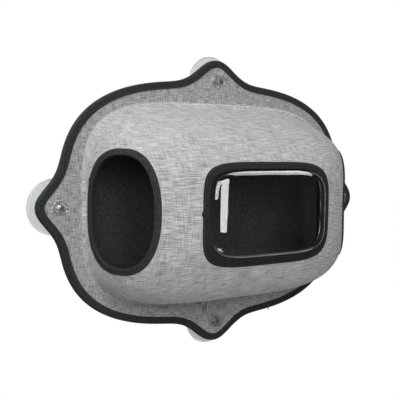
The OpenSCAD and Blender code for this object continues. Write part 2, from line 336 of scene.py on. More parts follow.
@dataclass(frozen=True)
class Hole:
    """A hole cut through the dome along a straight axis, and the tape that binds it."""

    shape: PodShape
    centre: Triple
    across: Triple
    axis: Triple
    width: float
    height: float
    power: float
    tape_w: float
    reach: float
    lean: tuple[float, float] = (0.0, 0.0)

    @property
    def cut(self) -> float:
        """Inset of the cut edge from the tape's outer edge."""
        return self.tape_w - self.shape.tape_t - self.shape.bond_gap

    def offset(self, inset: Length) -> Array:
        """Gives how far across and up the outline at an inset sits off centre, in rows of two."""
        return np.multiply.outer(np.asarray(inset) / self.tape_w, self.lean)

    def edge(self, count: int, inset: Length) -> Array:
        """Gives the outline moved inwards from the tape's outer edge, in rows of across and up."""
        p = super_point(self.width / 2 - inset, self.height / 2 - inset, round_turn(count), self.power)
        return p + self.offset(inset)

    def lines(self, flat: Array, along: Array) -> Array:
        """Gives the points at distances along the axis from places in the hole's plane."""
        base = np.array(self.centre) + flat[:, :1] * np.array(self.across) + flat[:, 1:] * UP
        return base + along[:, None] * np.array(self.axis)

    def on_wall(self, flat: Array, depth: Length) -> Array:
        """Projects places in the hole's plane along its axis onto a layer of the dome.

        Args:
            flat: The places, in rows of across and up.
            depth: Depth of the layer, for all or at each place.

        Returns:
            Points in X, Y and Z.
        """
        def above(along: Array) -> Array:
            """Says where the point at that distance is outside the layer."""
            return self.shape.beyond(self.lines(flat, along), depth) > 0

        ends = np.full(len(flat), self.reach)
        return self.lines(flat, bisect(-ends, ends, above))


def porthole(shape: PodShape, side: int) -> Hole:
    """Makes a porthole, cut square to a line that leans forwards.

    Args:
        shape: The pod's shape.
        side: -1 for the left porthole and 1 for the right one.

    Returns:
        The hole.
    """
    tilt, out, drop, power = math.radians(31), 78 * MM, 3.5 * MM, shape.profile_power
    half = shape.dome_w / 2 * (1 - (out / shape.dome_rise) ** power) ** (1 / power)
    return Hole(shape, centre=(side * half, shape.flange_y - out, -drop),
                across=(side * math.sin(tilt), math.cos(tilt), 0),
                axis=(side * math.cos(tilt), -math.sin(tilt), 0),
                width=136 * MM, height=199 * MM, power=2.4, tape_w=11 * MM, reach=68 * MM)


def window(shape: PodShape) -> Hole:
    """Makes the window in front, whose cut edge sits a little left of and above its tape's edge."""
    return Hole(shape, centre=(0, shape.flange_y - shape.dome_rise / 2, -8.5 * MM), across=(1, 0, 0),
                axis=(0, -1, 0), width=266 * MM, height=170 * MM, power=5, tape_w=13 * MM,
                reach=shape.dome_rise * 0.6, lean=(-1.4 * MM, 0.9 * MM))


def deselect() -> None:
    """Leaves object mode's selection empty."""
    bpy.ops.object.select_all(action="DESELECT")


def activate(obj: Object) -> None:
    """Selects one object alone and makes it the active one.

    Args:
        obj: The object.
    """
    deselect()
    obj.select_set(True)
    bpy.context.view_layer.objects.active = obj


def edit_all() -> None:
    """Opens the active object in edit mode with everything selected."""
    bpy.ops.object.mode_set(mode="EDIT")
    bpy.ops.mesh.select_all(action="SELECT")


def added(name: str) -> Object:
    """Names the primitive that an operator just added, and its mesh.

    Args:
        name: The new name of both.

    Returns:
        The primitive's object.
    """
    obj = bpy.context.view_layer.objects.active
    obj.name = obj.data.name = name
    return obj


def apply_modifiers(obj: Object) -> None:
    """Applies every modifier of a piece, in order."""
    activate(obj)
    for modifier in list(obj.modifiers):
        bpy.ops.object.modifier_apply(modifier=modifier.name)


def cut_out(obj: Object, cutter: Object, solver: str) -> None:
    """Cuts one object out of another.

    Args:
        obj: What is cut.
        cutter: What is taken out of it.
        solver: Name of the boolean modifier's solver.
    """
    cut = obj.modifiers.new("cut", "BOOLEAN")
    cut.operation, cut.object, cut.solver = "DIFFERENCE", cutter, solver
    apply_modifiers(obj)


def settle(obj: Object, smooth_deg: float | None) -> Object:
    """Puts a piece's place into its mesh.

    Args:
        obj: The piece.
        smooth_deg: Largest angle between faces that is shaded smooth, or None to leave them flat.

    Returns:
        The piece.
    """
    activate(obj)
    bpy.ops.object.transform_apply(location=True, rotation=True, scale=True)
    if smooth_deg is not None:
        bpy.ops.object.shade_smooth_by_angle(angle=math.radians(smooth_deg))
    return obj


def grid_faces(rows: int, cols: int, shift: int = 0, turned: bool = False) -> Faces:
    """Gives the quads between rows of points that close on themselves.

    Args:
        rows: How many rows there are.
        cols: How many points a row has.
        shift: Number of the first point.
        turned: Whether the quads face the other way.

    Returns:
        The quads as point numbers.
    """
    faces = []
    for r in range(rows - 1):
        a, b = shift + r * cols, shift + (r + 1) * cols
        for i in range(cols):
            j = (i + 1) % cols
            quad = (a + i, a + j, b + j, b + i)
            faces.append(quad[::-1] if turned else quad)
    return faces


def tube_faces(rows: int, cols: int, shift: int = 0) -> Faces:
    """Gives the quads between rows of points that close on themselves, and a face at each end."""
    last = shift + (rows - 1) * cols
    return grid_faces(rows, cols, shift) + [tuple(range(shift + cols - 1, shift - 1, -1)),
                                            tuple(range(last, last + cols))]


def face_out(obj: Object) -> None:
    """Merges doubles of a closed piece and turns its faces outwards.

    Args:
        obj: The piece.
    """
    activate(obj)
    edit_all()
    bpy.ops.mesh.remove_doubles(threshold=MERGE_DISTANCE)
    bpy.ops.mesh.normals_make_consistent(inside=False)
    bpy.ops.object.mode_set(mode="OBJECT")


def solid(name: str, points: Array, faces: Faces) -> Object:
    """Makes a closed piece of points and faces.

    Args:
        name: Name of the piece.
        points: Its points in X, Y and Z.
        faces: Its faces as point numbers.

    Returns:
        The piece, with its faces turned outwards.
    """
    mesh = bpy.data.meshes.new(name)
    mesh.from_pydata(points.tolist(), [], faces)
    mesh.update()
    obj = bpy.data.objects.new(name, mesh)
    bpy.context.scene.collection.objects.link(obj)
    face_out(obj)
    return obj


def corner_points(obj: Object) -> Array:
    """Finds which point is at each face corner.

    Args:
        obj: The piece.

    Returns:
        The points' numbers.
    """
    numbers = np.zeros(len(obj.data.loops), np.int32)
    obj.data.loops.foreach_get("vertex_index", numbers)
    return numbers


def lay_cloth(obj: Object, places: Array) -> None:
    """Sets the piece's UV map from a place on the cloth for each face corner."""
    uv = obj.data.uv_layers.new(name=CLOTH_MAP)
    uv.data.foreach_set("uv", places.astype(np.float32).ravel())


def ride(obj: Object, body: str, finish: Material,
         nodes: Sequence[str] = ()) -> None:
    """Gives a piece its finish and its place in the frame.

    Args:
        obj: The piece.
        body: The body that it moves with.
        finish: Its material.
        nodes: The frame's nodes that it stands for.
    """
    obj.data.materials.clear()
    obj.data.materials.append(finish)
    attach(obj, body)
    if nodes:
        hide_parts(*nodes)
    LOG.info("%s: %d faces, rides on %s", obj.name, len(obj.data.polygons), body)


class Nodes:
    """Short calls for building a node tree."""

    def __init__(self, tree: bpy.types.NodeTree) -> None:
        """Starts on a tree, emptied first."""
        self.tree = tree
        tree.nodes.clear()

    def link(self, output: Socket, target: Socket) -> None:
        """Links an output to an input."""
        self.tree.links.new(output, target)

    def add(self, kind: str, inputs: dict | None = None, **settings: object) -> bpy.types.Node:
        """Adds a node.

        Args:
            kind: The node's type.
            inputs: Values or sockets for its inputs, by name or number.
            **settings: Properties of the node.

        Returns:
            The node.
        """
        node = self.tree.nodes.new(kind)
        for key, value in settings.items():
            setattr(node, key, value)
        for key, value in (inputs or {}).items():
            if isinstance(value, Socket):
                self.link(value, node.inputs[key])
            else:
                node.inputs[key].default_value = value
        return node

    def maths(self, operation: str, a: object, b: object = 0.0, c: object = 0.0) -> Socket:
        """Adds a Math node and gives its output."""
        return self.add("ShaderNodeMath", {0: a, 1: b, 2: c}, operation=operation).outputs[0]

    def blend(self, factor: object, a: object, b: object) -> Socket:
        """Mixes two numbers and gives the output."""
        return self.add("ShaderNodeMix", {0: factor, 2: a, 3: b}, data_type="FLOAT").outputs[0]

    def mixed(self, factor: object, a: object, b: object) -> Socket:
        """Mixes two colours and gives the output."""
        return self.add("ShaderNodeMix", {0: factor, 6: a, 7: b}, data_type="RGBA").outputs[2]

    def scaled(self, vector: Socket, scale: object) -> Socket:
        """Scales a vector or a colour by a number and gives the output."""
        return self.add("ShaderNodeVectorMath", {0: vector, 3: scale}, operation="SCALE").outputs[0]

    def split(self, vector: Socket) -> Sockets:
        """Gives the three numbers of a vector."""
        return self.add("ShaderNodeSeparateXYZ", {0: vector}).outputs

    def attribute(self, name: str) -> Socket:
        """Reads a number that the mesh keeps at each point."""
        return self.add("ShaderNodeAttribute", attribute_name=name).outputs["Fac"]

    def place(self) -> Socket:
        """Gives the Object coordinates."""
        return self.add("ShaderNodeTexCoord").outputs["Object"]

    def cloth(self) -> Socket:
        """Gives the place on the piece's own cloth map."""
        return self.add("ShaderNodeUVMap", uv_map=CLOTH_MAP).outputs[0]

    def noise(self, vector: Socket, scale: float, detail: float = 2.0, roughness: float = 0.5) -> Socket:
        """Adds a Noise Texture and gives its value."""
        return self.add("ShaderNodeTexNoise", {"Vector": vector, "Scale": scale, "Detail": detail,
                                               "Roughness": roughness}).outputs["Fac"]

    def stretched(self, vector: Socket, scale: Triple, turn: float = 0.0) -> Socket:
        """Scales a vector and turns it about its third axis."""
        return self.add("ShaderNodeMapping", {"Vector": vector, "Scale": scale, "Rotation": (0, 0, turn)},
                        vector_type="POINT").outputs[0]

    def level(self, value: Socket, low: float, high: float, to_low: float = 0.0,
              to_high: float = 1.0) -> Socket:
        """Maps a range of values onto another, clamped."""
        return self.add("ShaderNodeMapRange", {0: value, 1: low, 2: high, 3: to_low, 4: to_high}).outputs[0]

    def waves(self, place: Socket, factor: float) -> Socket:
        """Gives the absolute value of the sine of a place times a factor."""
        return self.maths("ABSOLUTE", self.maths("SINE", self.maths("MULTIPLY", place, factor)))


def group(name: str, inputs: dict[str, float],
          outputs: Sequence[str]) -> tuple[Nodes, Sockets, Sockets]:
    """Starts a shader node group that works on a vector.

    Args:
        name: The group's name.
        inputs: Names and default values of its numbers.
        outputs: Names of its outputs, which are numbers.

    Returns:
        Its nodes, what is put into it and what comes out of it.
    """
    tree = bpy.data.node_groups.new(name, "ShaderNodeTree")
    tree.interface.new_socket("Vector", in_out="INPUT", socket_type="NodeSocketVector")
    for key, value in inputs.items():
        tree.interface.new_socket(key, in_out="INPUT", socket_type="NodeSocketFloat").default_value = value
    for key in outputs:
        tree.interface.new_socket(key, in_out="OUTPUT", socket_type="NodeSocketFloat")
    nodes = Nodes(tree)
    return nodes, nodes.add("NodeGroupInput").outputs, nodes.add("NodeGroupOutput").inputs


def make_woven() -> bpy.types.NodeTree:
    """Makes the woven yarn group: weft along X and warp along Y, over and under each other.

    Each yarn has shades of its own along its length, shared in part with its neighbours, so that
    thicker flecks form across a few yarns.

    Returns:
        The group, with the yarns' shade and height, both from 0 to 1.
    """
    n, given, out = group("woven_yarns", {"Threads": 1000.0, "Fleck": 50.0, "Spread": 0.35, "Warp": 0.6},
                          ("Tone", "Height"))
    weft_run, warp_run, _ = n.split(given["Vector"])
    shades, heights, numbers = [], [], []
    for along, across, shift in ((weft_run, warp_run, 3.7), (warp_run, weft_run, 61.3)):
        place = n.maths("MULTIPLY", across, given["Threads"])
        number = n.maths("FLOOR", place)
        row = n.maths("MULTIPLY_ADD", number, given["Spread"], shift)
        run = n.maths("MULTIPLY", along, given["Fleck"])
        where = n.add("ShaderNodeCombineXYZ", {0: run, 1: row}).outputs[0]
        shades.append(n.level(n.noise(where, 1, 1.3, 0.5), 0.34, 0.66))
        heights.append(n.waves(place, math.pi))
        numbers.append(number)
    over = n.maths("PINGPONG", n.maths("ADD", *numbers), 1)
    warp = n.blend(given["Warp"], 0.5, shades[1])
    n.link(n.blend(over, shades[0], warp), out["Tone"])
    n.link(n.blend(over, *heights), out["Height"])
    return n.tree


def make_moulded() -> bpy.types.NodeTree:
    """Makes the moulded plastic group: faint flow waves and fine handling marks.

    Returns:
        The group, with a height and a roughness.
    """
    n, given, out = group("moulded_plastic", {"Waves": 30.0, "Roughness": 0.05, "Marks": 0.05},
                          ("Height", "Roughness"))
    marks = n.level(n.noise(n.stretched(given["Vector"], (900, 260, 900), 0.5), 1, 3.0, 0.6), 0.55, 0.8)
    n.link(n.noise(n.scaled(given["Vector"], given["Waves"]), 1, 1.0), out["Height"])
    worn = n.maths("MULTIPLY", marks, given["Marks"])
    n.link(n.maths("ADD", given["Roughness"], worn), out["Roughness"])
    return n.tree


@dataclass(frozen=True)
class Effects:
    """The node groups that several materials share."""

    woven: bpy.types.NodeTree
    moulded: bpy.types.NodeTree


def grey(value: float) -> Colour:
    """Gives a neutral colour."""
    return (value, value, value, 1.0)


def times(colour: Colour, factor: float) -> Colour:
    """Gives a colour lightened or darkened by a factor."""
    return tuple(factor * c for c in colour[:3]) + (1,)


@dataclass(frozen=True)
class Finish:
    """What every finish has: its name, and the sockets that are the same all over."""

    name: str
    constants: dict[str, object]

    def start(self) -> tuple[Material, Nodes, bpy.types.Node]:
        """Starts the material.

        Returns:
            The material, its nodes and its Principled shader.
        """
        material = bpy.data.materials.new(self.name)
        material.use_nodes = True
        nodes = Nodes(material.node_tree)
        shader = nodes.add("ShaderNodeBsdfPrincipled", self.constants)
        nodes.add("ShaderNodeOutputMaterial", {"Surface": shader.outputs[0]})
        return material, nodes, shader

    @staticmethod
    def bump(nodes: Nodes, shader: bpy.types.Node, height: Socket, distance: float, strength: float) -> None:
        """Feeds a height through a Bump node."""
        node = nodes.add("ShaderNodeBump", {"Height": height, "Distance": distance, "Strength": strength})
        nodes.link(node.outputs[0], shader.inputs["Normal"])


@dataclass(frozen=True)
class WovenCloth(Finish):
    """Cloth of light and dark yarns, laid on the piece's own UV map.

    On the part of the piece whose flange attribute is 1 the cloth is pressed flat, with short flecks, and
    its warp shows as much as its weft; its colour there is darker all over. Where its crease attribute is 1
    the cloth is painted paler: a painted highlight on the fillet at the dome's foot, where light catches it.
    """

    dark: Colour = (0.080, 0.081, 0.084, 1)
    light: Colour = (0.780, 0.780, 0.785, 1)
    threads: float = 1150.0
    fleck: float = 34.0
    spread: float = 0.68
    warp: float = 0.6
    flange_fleck: float = 70.0
    flange_calm: float = 0.1
    flange_tint: float = 0.78
    # Painted highlight: how much paler the crease at the dome's foot is painted, where light catches the
    # fillet.
    crease_highlight_tint: float = 1.5
    mottle: tuple[float, float] = (0.96, 1.04)
    gap_shade: tuple[float, float] = (0.8, 1.04)
    rough: tuple[float, float] = (0.95, 0.8)
    relief: float = 0.6 * MM

    def make(self, effects: Effects) -> Material:
        """Builds the material.

        Args:
            effects: The shared node groups.

        Returns:
            The material.
        """
        material, n, shader = self.start()
        uv, flange = n.cloth(), n.attribute("flange")
        yarns = n.add("ShaderNodeGroup", {
            "Vector": uv, "Threads": self.threads, "Spread": self.spread,
            "Fleck": n.level(flange, 0, 1, self.fleck, self.flange_fleck),
            "Warp": n.level(flange, 0, 1, self.warp, 1.0)}, node_tree=effects.woven).outputs
        tone = n.blend(n.level(flange, 0, 1, 0, self.flange_calm), yarns["Tone"], 0.5)
        mottle = n.level(n.noise(uv, 16, 3.0, 0.55), 0.3, 0.7, *self.mottle)
        gaps = n.level(yarns["Height"], 0, 0.7, *self.gap_shade)
        # The tint darkens the flange all over and paints the crease paler, a painted highlight of the lit
        # fillet.
        tint = n.maths("MULTIPLY", n.level(flange, 0, 1, 1, self.flange_tint),
                       n.level(n.attribute("crease"), 0, 1, 1, self.crease_highlight_tint))
        shade = n.maths("MULTIPLY", n.maths("MULTIPLY", mottle, gaps), tint)
        n.link(n.scaled(n.mixed(tone, self.dark, self.light), shade), shader.inputs["Base Color"])
        n.link(n.level(tone, 0, 1, *self.rough), shader.inputs["Roughness"])
        self.bump(n, shader, n.maths("MULTIPLY_ADD", tone, 1.2, yarns["Height"]), self.relief, 0.8)
        return material


@dataclass(frozen=True)
class RibbedTape(Finish):
    """Woven binding tape with fine ribs across it."""

    dark: Colour = (0.007, 0.007, 0.0075, 1)
    light: Colour = (0.038, 0.038, 0.039, 1)
    rib: float = 1.3 * MM
    mottle: tuple[float, float] = (0.6, 1.4)
    rough: tuple[float, float] = (0.92, 0.75)
    relief: float = 0.3 * MM

    def make(self, effects: Effects) -> Material:
        """Builds the material on the tape's own map, which runs along it and across it.

        Args:
            effects: The shared node groups.

        Returns:
            The material.
        """
        material, n, shader = self.start()
        uv = n.cloth()
        yarns = n.add("ShaderNodeGroup", {"Vector": uv, "Threads": 1700.0, "Fleck": 260.0, "Spread": 0.6,
                                          "Warp": 0.8}, node_tree=effects.woven).outputs
        rib = n.waves(n.split(uv)[0], math.pi / self.rib)
        shade = n.blend(0.4, yarns["Tone"], rib)
        mottle = n.level(n.noise(uv, 320, 2.0, 0.6), 0.36, 0.64, *self.mottle)
        n.link(n.scaled(n.mixed(shade, self.dark, self.light), mottle), shader.inputs["Base Color"])
        n.link(n.level(shade, 0, 1, *self.rough), shader.inputs["Roughness"])
        self.bump(n, shader, n.maths("MULTIPLY_ADD", yarns["Height"], 0.5, rib), self.relief, 0.8)
        return material


@dataclass(frozen=True)
class Grained(Finish):
    """A matt finish whose colour and relief follow one fine pattern in Object coordinates."""

    colour: Colour
    pale: float
    relief: float
    strength: float = 0.5

    def pattern(self, n: Nodes, place: Socket) -> Socket:
        """Gives the pattern, from 0 to 1."""
        raise NotImplementedError

    def make(self) -> Material:
        """Builds the material.

        Returns:
            The material.
        """
        material, n, shader = self.start()
        grain = self.pattern(n, n.place())
        n.link(n.mixed(grain, self.colour, times(self.colour, self.pale)), shader.inputs["Base Color"])
        self.bump(n, shader, grain, self.relief, self.strength)
        return material


@dataclass(frozen=True)
class Thread(Grained):
    """Twisted sewing thread."""

    def pattern(self, n: Nodes, place: Socket) -> Socket:
        """Gives the thread's twist."""
        return n.noise(n.stretched(place, (2600, 2600, 2600)), 1, 1.0)


@dataclass(frozen=True)
class Foam(Grained):
    """Closed-cell foam with a fine pored skin."""

    def pattern(self, n: Nodes, place: Socket) -> Socket:
        """Gives the foam's pores."""
        return n.add("ShaderNodeTexVoronoi", {"Vector": place, "Scale": 900.0}).outputs["Distance"]


@dataclass(frozen=True)
class PressedBoard(Grained):
    """Grey pressed board with short fibres in its face."""

    def pattern(self, n: Nodes, place: Socket) -> Socket:
        """Gives the board's fibres."""
        return n.level(n.noise(n.stretched(place, (420, 1500, 60), 0.4), 1, 3.0, 0.6), 0.35, 0.65)


@dataclass(frozen=True)
class ClearPlastic(Finish):
    """Clear plastic or vinyl with faint moulding waves and handling marks."""

    tint: Colour = (1, 1, 1, 1)
    waves: float = 30.0
    wave_height: float = 0.05 * MM
    roughness: float = 0.02
    marks: float = 0.04
    shade: float = 0.15
    wave_tint: float = 0.96

    def make(self, effects: Effects) -> Material:
        """Builds the material. Light passes it, so that its shadow is pale.

        Args:
            effects: The shared node groups.

        Returns:
            The material.
        """
        material, n, shader = self.start()
        shadow = n.add("ShaderNodeLightPath").outputs["Is Shadow Ray"]
        n.link(n.level(shadow, 0, 1, 1, self.shade), shader.inputs["Alpha"])
        moulded = n.add("ShaderNodeGroup", {
            "Vector": n.place(), "Waves": self.waves, "Roughness": self.roughness,
            "Marks": self.marks}, node_tree=effects.moulded).outputs
        n.link(n.mixed(moulded["Height"], times(self.tint, self.wave_tint), self.tint),
               shader.inputs["Base Color"])
        n.link(moulded["Roughness"], shader.inputs["Roughness"])
        self.bump(n, shader, moulded["Height"], self.wave_height, 1.0)
        return material


class Finishes:
    """Every material of the pod, made once."""

    def __init__(self) -> None:
        """Builds the shared effects and each material."""
        effects = Effects(make_woven(), make_moulded())
        clear = {"Transmission Weight": 1.0, "Metallic": 0.0}
        matt_tape = {"Specular IOR Level": 0.04}
        self.cover = WovenCloth("heather_cloth", {"Sheen Weight": 0.08, "Sheen Roughness": 0.5,
                                                  "Specular IOR Level": 0.2}).make(effects)
        self.lining = WovenCloth("dark_tricot", {"Specular IOR Level": 0.15}, (0.008, 0.008, 0.0085, 1),
                                 (0.052, 0.052, 0.054, 1), threads=900.0, fleck=160.0, spread=0.7, warp=0.9,
                                 flange_fleck=160.0, flange_calm=0.0, flange_tint=1.0,
                                 crease_highlight_tint=1.0).make(effects)
        self.tape = RibbedTape("ribbed_tape", matt_tape).make(effects)
        self.dark_tape = RibbedTape("dark_ribbed_tape", matt_tape, (0.005, 0.005, 0.0055, 1),
                                    (0.023, 0.023, 0.024, 1)).make(effects)
        self.thread = Thread("sewing_thread", {"Roughness": 0.7, "Specular IOR Level": 0.3},
                             (0.02, 0.02, 0.021, 1), 2.2, 0.1 * MM, 0.6).make()
        self.foam = Foam("grey_foam", {"Roughness": 0.85}, (0.05, 0.05, 0.052, 1), 1.5, 0.2 * MM).make()
        self.board = PressedBoard("pressed_board", {"Roughness": 0.8}, (0.11, 0.105, 0.10, 1), 1.7,
                                  0.15 * MM).make()
        self.bubble = ClearPlastic("clear_bubble", {**clear, "IOR": 1.5, "Specular IOR Level": 0.9}, waves=14,
                                   wave_height=0.2 * MM, roughness=0.01, marks=0.03).make(effects)
        self.vinyl, self.knob, self.washer, self.stud = (
            ClearPlastic(name, {**clear, "IOR": ior}, tint, waves, height, rough, 0.1).make(effects)
            for name, ior, tint, waves, height, rough in (
                ("cup_vinyl", 1.46, (0.66, 0.69, 0.685, 1), 40, 0.2 * MM, 0.28),
                ("knob_plastic", 1.36, (0.62, 0.65, 0.64, 1), 60, 0.1 * MM, 0.25),
                ("washer_plastic", 1.2, (0.88, 0.90, 0.895, 1), 60, 0.05 * MM, 0.15),
                ("stud_nylon", 1.5, (0.48, 0.50, 0.51, 1), 90, 0.1 * MM, 0.22)))


@dataclass
class PodWall:
    """The moulded wall: cover, foam and lining over dome and flange, each a layer of its own."""

    shape: PodShape
    holes: list[Hole]
    columns: int = 288
    flange_rows: int = 12
    foot_rows: int = 6
    dome_rows: int = 66
    stud_hole_r: float = 4.4 * MM
    crease_w: float = 1.3 * MM
    crease_h: float = 0.45 * MM
    bar_points: int = 96
    bar_ends: tuple[float, float] = (-5 * MM, -45 * MM)

    def window_profile(self, angle: Array, depth: float) -> Array:
        """Finds where the dome meets the window's cut edge.

        Args:
            angle: Directions round the front, in radians.
            depth: Depth of the surface.

        Returns:
            The profile angle in each direction.
        """
        hole = self.holes[0]
        w, h, (across, up) = hole.width / 2 - hole.cut, hole.height / 2 - hole.cut, hole.offset(hole.cut)

        def outside(profile: Array) -> Array:
            """Says where the dome's point is outside the window."""
            p = self.shape.dome(angle, profile, depth)
            return (np.abs((p[:, 0] - across) / w) ** hole.power
                    + np.abs((p[:, 2] - hole.centre[2] - up) / h) ** hole.power) > 1

        return bisect(np.full(len(angle), 0.01), np.full(len(angle), self.shape.foot_angle), outside)

    def surface(self, depth: float, crease: float = 0.0) -> Array:
        """Gives the points of one face of a layer, row by row from the rim to the window's edge.

        Args:
            depth: Depth of the face.
            crease: How far the crease at the dome's foot stands proud.

        Returns:
            Points by row, column and coordinate.
        """
        shape, angle = self.shape, round_turn(self.columns)
        rim = shape.rim(self.columns, shape.rim_cut)
        rim = np.stack([rim[:, 0], np.full(len(rim), shape.flange_y + depth), rim[:, 1]], -1)
        foot = shape.foot(angle, 0, depth)
        rows = [rim + (foot - rim) * k / self.flange_rows for k in range(self.flange_rows)]
        outwards = (rim - foot) / np.linalg.norm(rim - foot, axis=1)[:, None]
        rows += [foot + outwards * self.crease_w, foot - (0, crease, 0)]
        rows += [shape.foot(angle, k / self.foot_rows * TURN / 4, depth) for k in range(1, self.foot_rows)]
        edge = self.window_profile(angle, depth)
        for k in range(self.dome_rows + 1):
            profile = shape.foot_angle + (edge - shape.foot_angle) * k / self.dome_rows
            rows.append(shape.dome(angle, profile, depth))
        return np.array(rows)

    def cutters(self) -> Object:
        """Makes one solid of the bars that cut the portholes and the stud holes.

        Returns:
            The solid.
        """
        bars, angle = [], round_turn(self.bar_points)
        ring = self.stud_hole_r * np.stack([np.cos(angle), 0 * angle, np.sin(angle)], -1)
        for hole in self.holes[1:]:
            flat = hole.edge(self.bar_points, hole.cut)
            bars += [hole.lines(flat, np.full(len(flat), side * hole.width / 2)) for side in (-1, 1)]
        for side in Side:
            bars += [np.array(self.shape.stud(side)) + ring + (0, y, 0) for y in self.bar_ends]
        faces = []
        for start in range(0, len(bars) * self.bar_points, 2 * self.bar_points):
            faces += tube_faces(2, self.bar_points, start)
        return solid("cutters", np.concatenate(bars), faces)

    def wrapped(self, points: Array) -> Array:
        """Wraps a flat cloth over the dome's walls and roof.

        Args:
            points: Points of the dome.

        Returns:
            Each point's place on the cloth.
        """
        shape, zero = self.shape, np.zeros(len(points))
        middle_x = shape.front_y(zero, points[:, 2], 0)
        middle_z = shape.front_y(points[:, 0], zero, 0)
        drops = np.maximum(points[:, 1:2] - np.stack([middle_x, middle_z], -1), 0)
        flat = points[:, [0, 2]]
        return flat + np.sign(flat) * drops

    def layer(self, name: str, depth: float, thick: float, cutter: Object) -> Object:
        """Makes one closed layer of the wall, with its holes, its cloth map and its attributes.

        Args:
            name: Name of the piece.
            depth: Depth of its front face.
            thick: Its thickness.
            cutter: The solid that cuts the holes.

        Returns:
            The piece.
        """
        front, back = self.surface(depth, self.crease_h if depth == 0 else 0.0), self.surface(depth + thick)
        rows, cols = front.shape[:2]
        count = rows * cols
        points = np.concatenate([front.reshape(-1, 3), back.reshape(-1, 3)])
        faces = grid_faces(rows, cols) + grid_faces(rows, cols, count, True)
        for edge, turned in ((0, True), (count - cols, False)):
            for i in range(cols):
                j = (i + 1) % cols
                quad = (edge + i, edge + j, count + edge + j, count + edge + i)
                faces.append(quad[::-1] if turned else quad)
        obj = solid(name, points, faces)
        foot_row = self.flange_rows + 1
        on_flange = np.tile(np.repeat(np.arange(rows) <= foot_row, cols), 2)
        # The crease attribute carries the painted highlight along the dome's foot: full on the upper part,
        # which the light from above catches, and faint below.
        near = np.clip(1 - 0.5 * np.abs(np.arange(rows) - foot_row - 0.5), 0, 1)
        lit_from_above = np.clip(0.6 + points[:, 2] / self.shape.dome_h, 0.2, 1)
        painted_crease_highlight = np.tile(np.repeat(near, cols), 2) * lit_from_above
        for label, values in (("flange", on_flange), ("crease", painted_crease_highlight)):
            attribute = obj.data.attributes.new(label, "FLOAT", "POINT")
            attribute.data.foreach_set("value", values.astype(np.float32))
        corners = corner_points(obj)
        sizes = np.array([len(p.vertices) for p in obj.data.polygons])
        starts = np.concatenate([[0], np.cumsum(sizes)[:-1]])
        all_flat = np.repeat(np.minimum.reduceat(on_flange[corners].astype(int), starts), sizes)
        flat, wrapped = points[:, [0, 2]], self.wrapped(points)
        lay_cloth(obj, np.where(all_flat[:, None] > 0, flat[corners], wrapped[corners]))
        cut_out(obj, cutter, "MANIFOLD")
        return settle(obj, SHEET_SMOOTH)

    def build(self, finishes: Finishes) -> None:
        """Builds and dresses the three layers.

        Args:
            finishes: The materials.
        """
        shape, cutter = self.shape, self.cutters()
        cover = self.layer("cloth_cover", 0, shape.cover_t, cutter)
        ride(cover, BODY, finishes.cover, ["outer_cover"])
        foam = self.layer("foam_wall", shape.foam_s, shape.foam_t, cutter)
        ride(foam, BODY, finishes.foam, ["foam_shell"])
        lining = self.layer("cabin_lining", shape.lining_s, shape.lining_t, cutter)
        ride(lining, BODY, finishes.lining, ["inner_lining"])
        bpy.data.objects.remove(cutter)


@dataclass
class BackPanel:
    """The closed back: a stiff board with cloth on both faces."""

    shape: PodShape
    columns: int = 288
    rings: int = 24
    slack: float = 0.25 * MM

    def lift(self, flat: Array) -> Array:
        """Gives the cloth's slight unevenness, from about 0 to 1, at places in X and Z."""
        wave = np.sin(flat[:, 0] * 47 + 1.3) * np.sin(flat[:, 1] * 61 + 0.4)
        return 0.5 + 0.33 * (wave + 0.5 * np.sin(flat[:, 0] * 103) * np.sin(flat[:, 1] * 89 + 2))

    def cloth(self, name: str, depth: float, towards: int) -> Object:
        """Makes one closed sheet of cloth on the board, uneven where nothing presses it.

        Args:
            name: Name of the piece.
            depth: Depth of its front face.
            towards: The side that is free to lift, -1 for the cabin and 1 for the glass.

        Returns:
            The piece.
        """
        shape, cols = self.shape, self.columns
        rim, shares = shape.rim(cols, shape.rim_cut), np.linspace(1, 0.02, self.rings)
        flat = np.concatenate([rim * share for share in shares])
        lift = self.slack * self.lift(flat) * np.repeat(np.clip((1 - shares) * 4, 0, 1), cols)
        faces_y = [np.full(len(flat), shape.flange_y + depth + extra) for extra in (0, shape.lining_t)]
        faces_y[0 if towards < 0 else 1] += towards * lift
        points = np.concatenate([np.stack([flat[:, 0], y, flat[:, 1]], -1) for y in faces_y])
        count = len(flat)
        faces = grid_faces(self.rings, cols) + grid_faces(self.rings, cols, count, True)
        faces += [tuple(range(count - cols, count)), tuple(range(2 * count - 1, 2 * count - cols - 1, -1))]
        faces += [(i, count + i, count + (i + 1) % cols, (i + 1) % cols) for i in range(cols)]
        obj = solid(name, points, faces)
        lay_cloth(obj, np.array([v.co.xz for v in obj.data.vertices])[corner_points(obj)])
        return settle(obj, SHEET_SMOOTH)

    def build(self, finishes: Finishes) -> None:
        """Builds and dresses both cloths, and dresses the board.

        Args:
            finishes: The materials.
        """
        for name, depth, towards, node in (("back_facing_cloth", self.shape.facing_s, -1, "back_facing"),
                                           ("back_cover_cloth", self.shape.backing_s, 1, "back_cover")):
            obj = self.cloth(name, depth, towards)
            ride(obj, BODY, finishes.lining, [node])
        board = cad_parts["back_board"]
        board.data.materials.clear()
        board.data.materials.append(finishes.board)


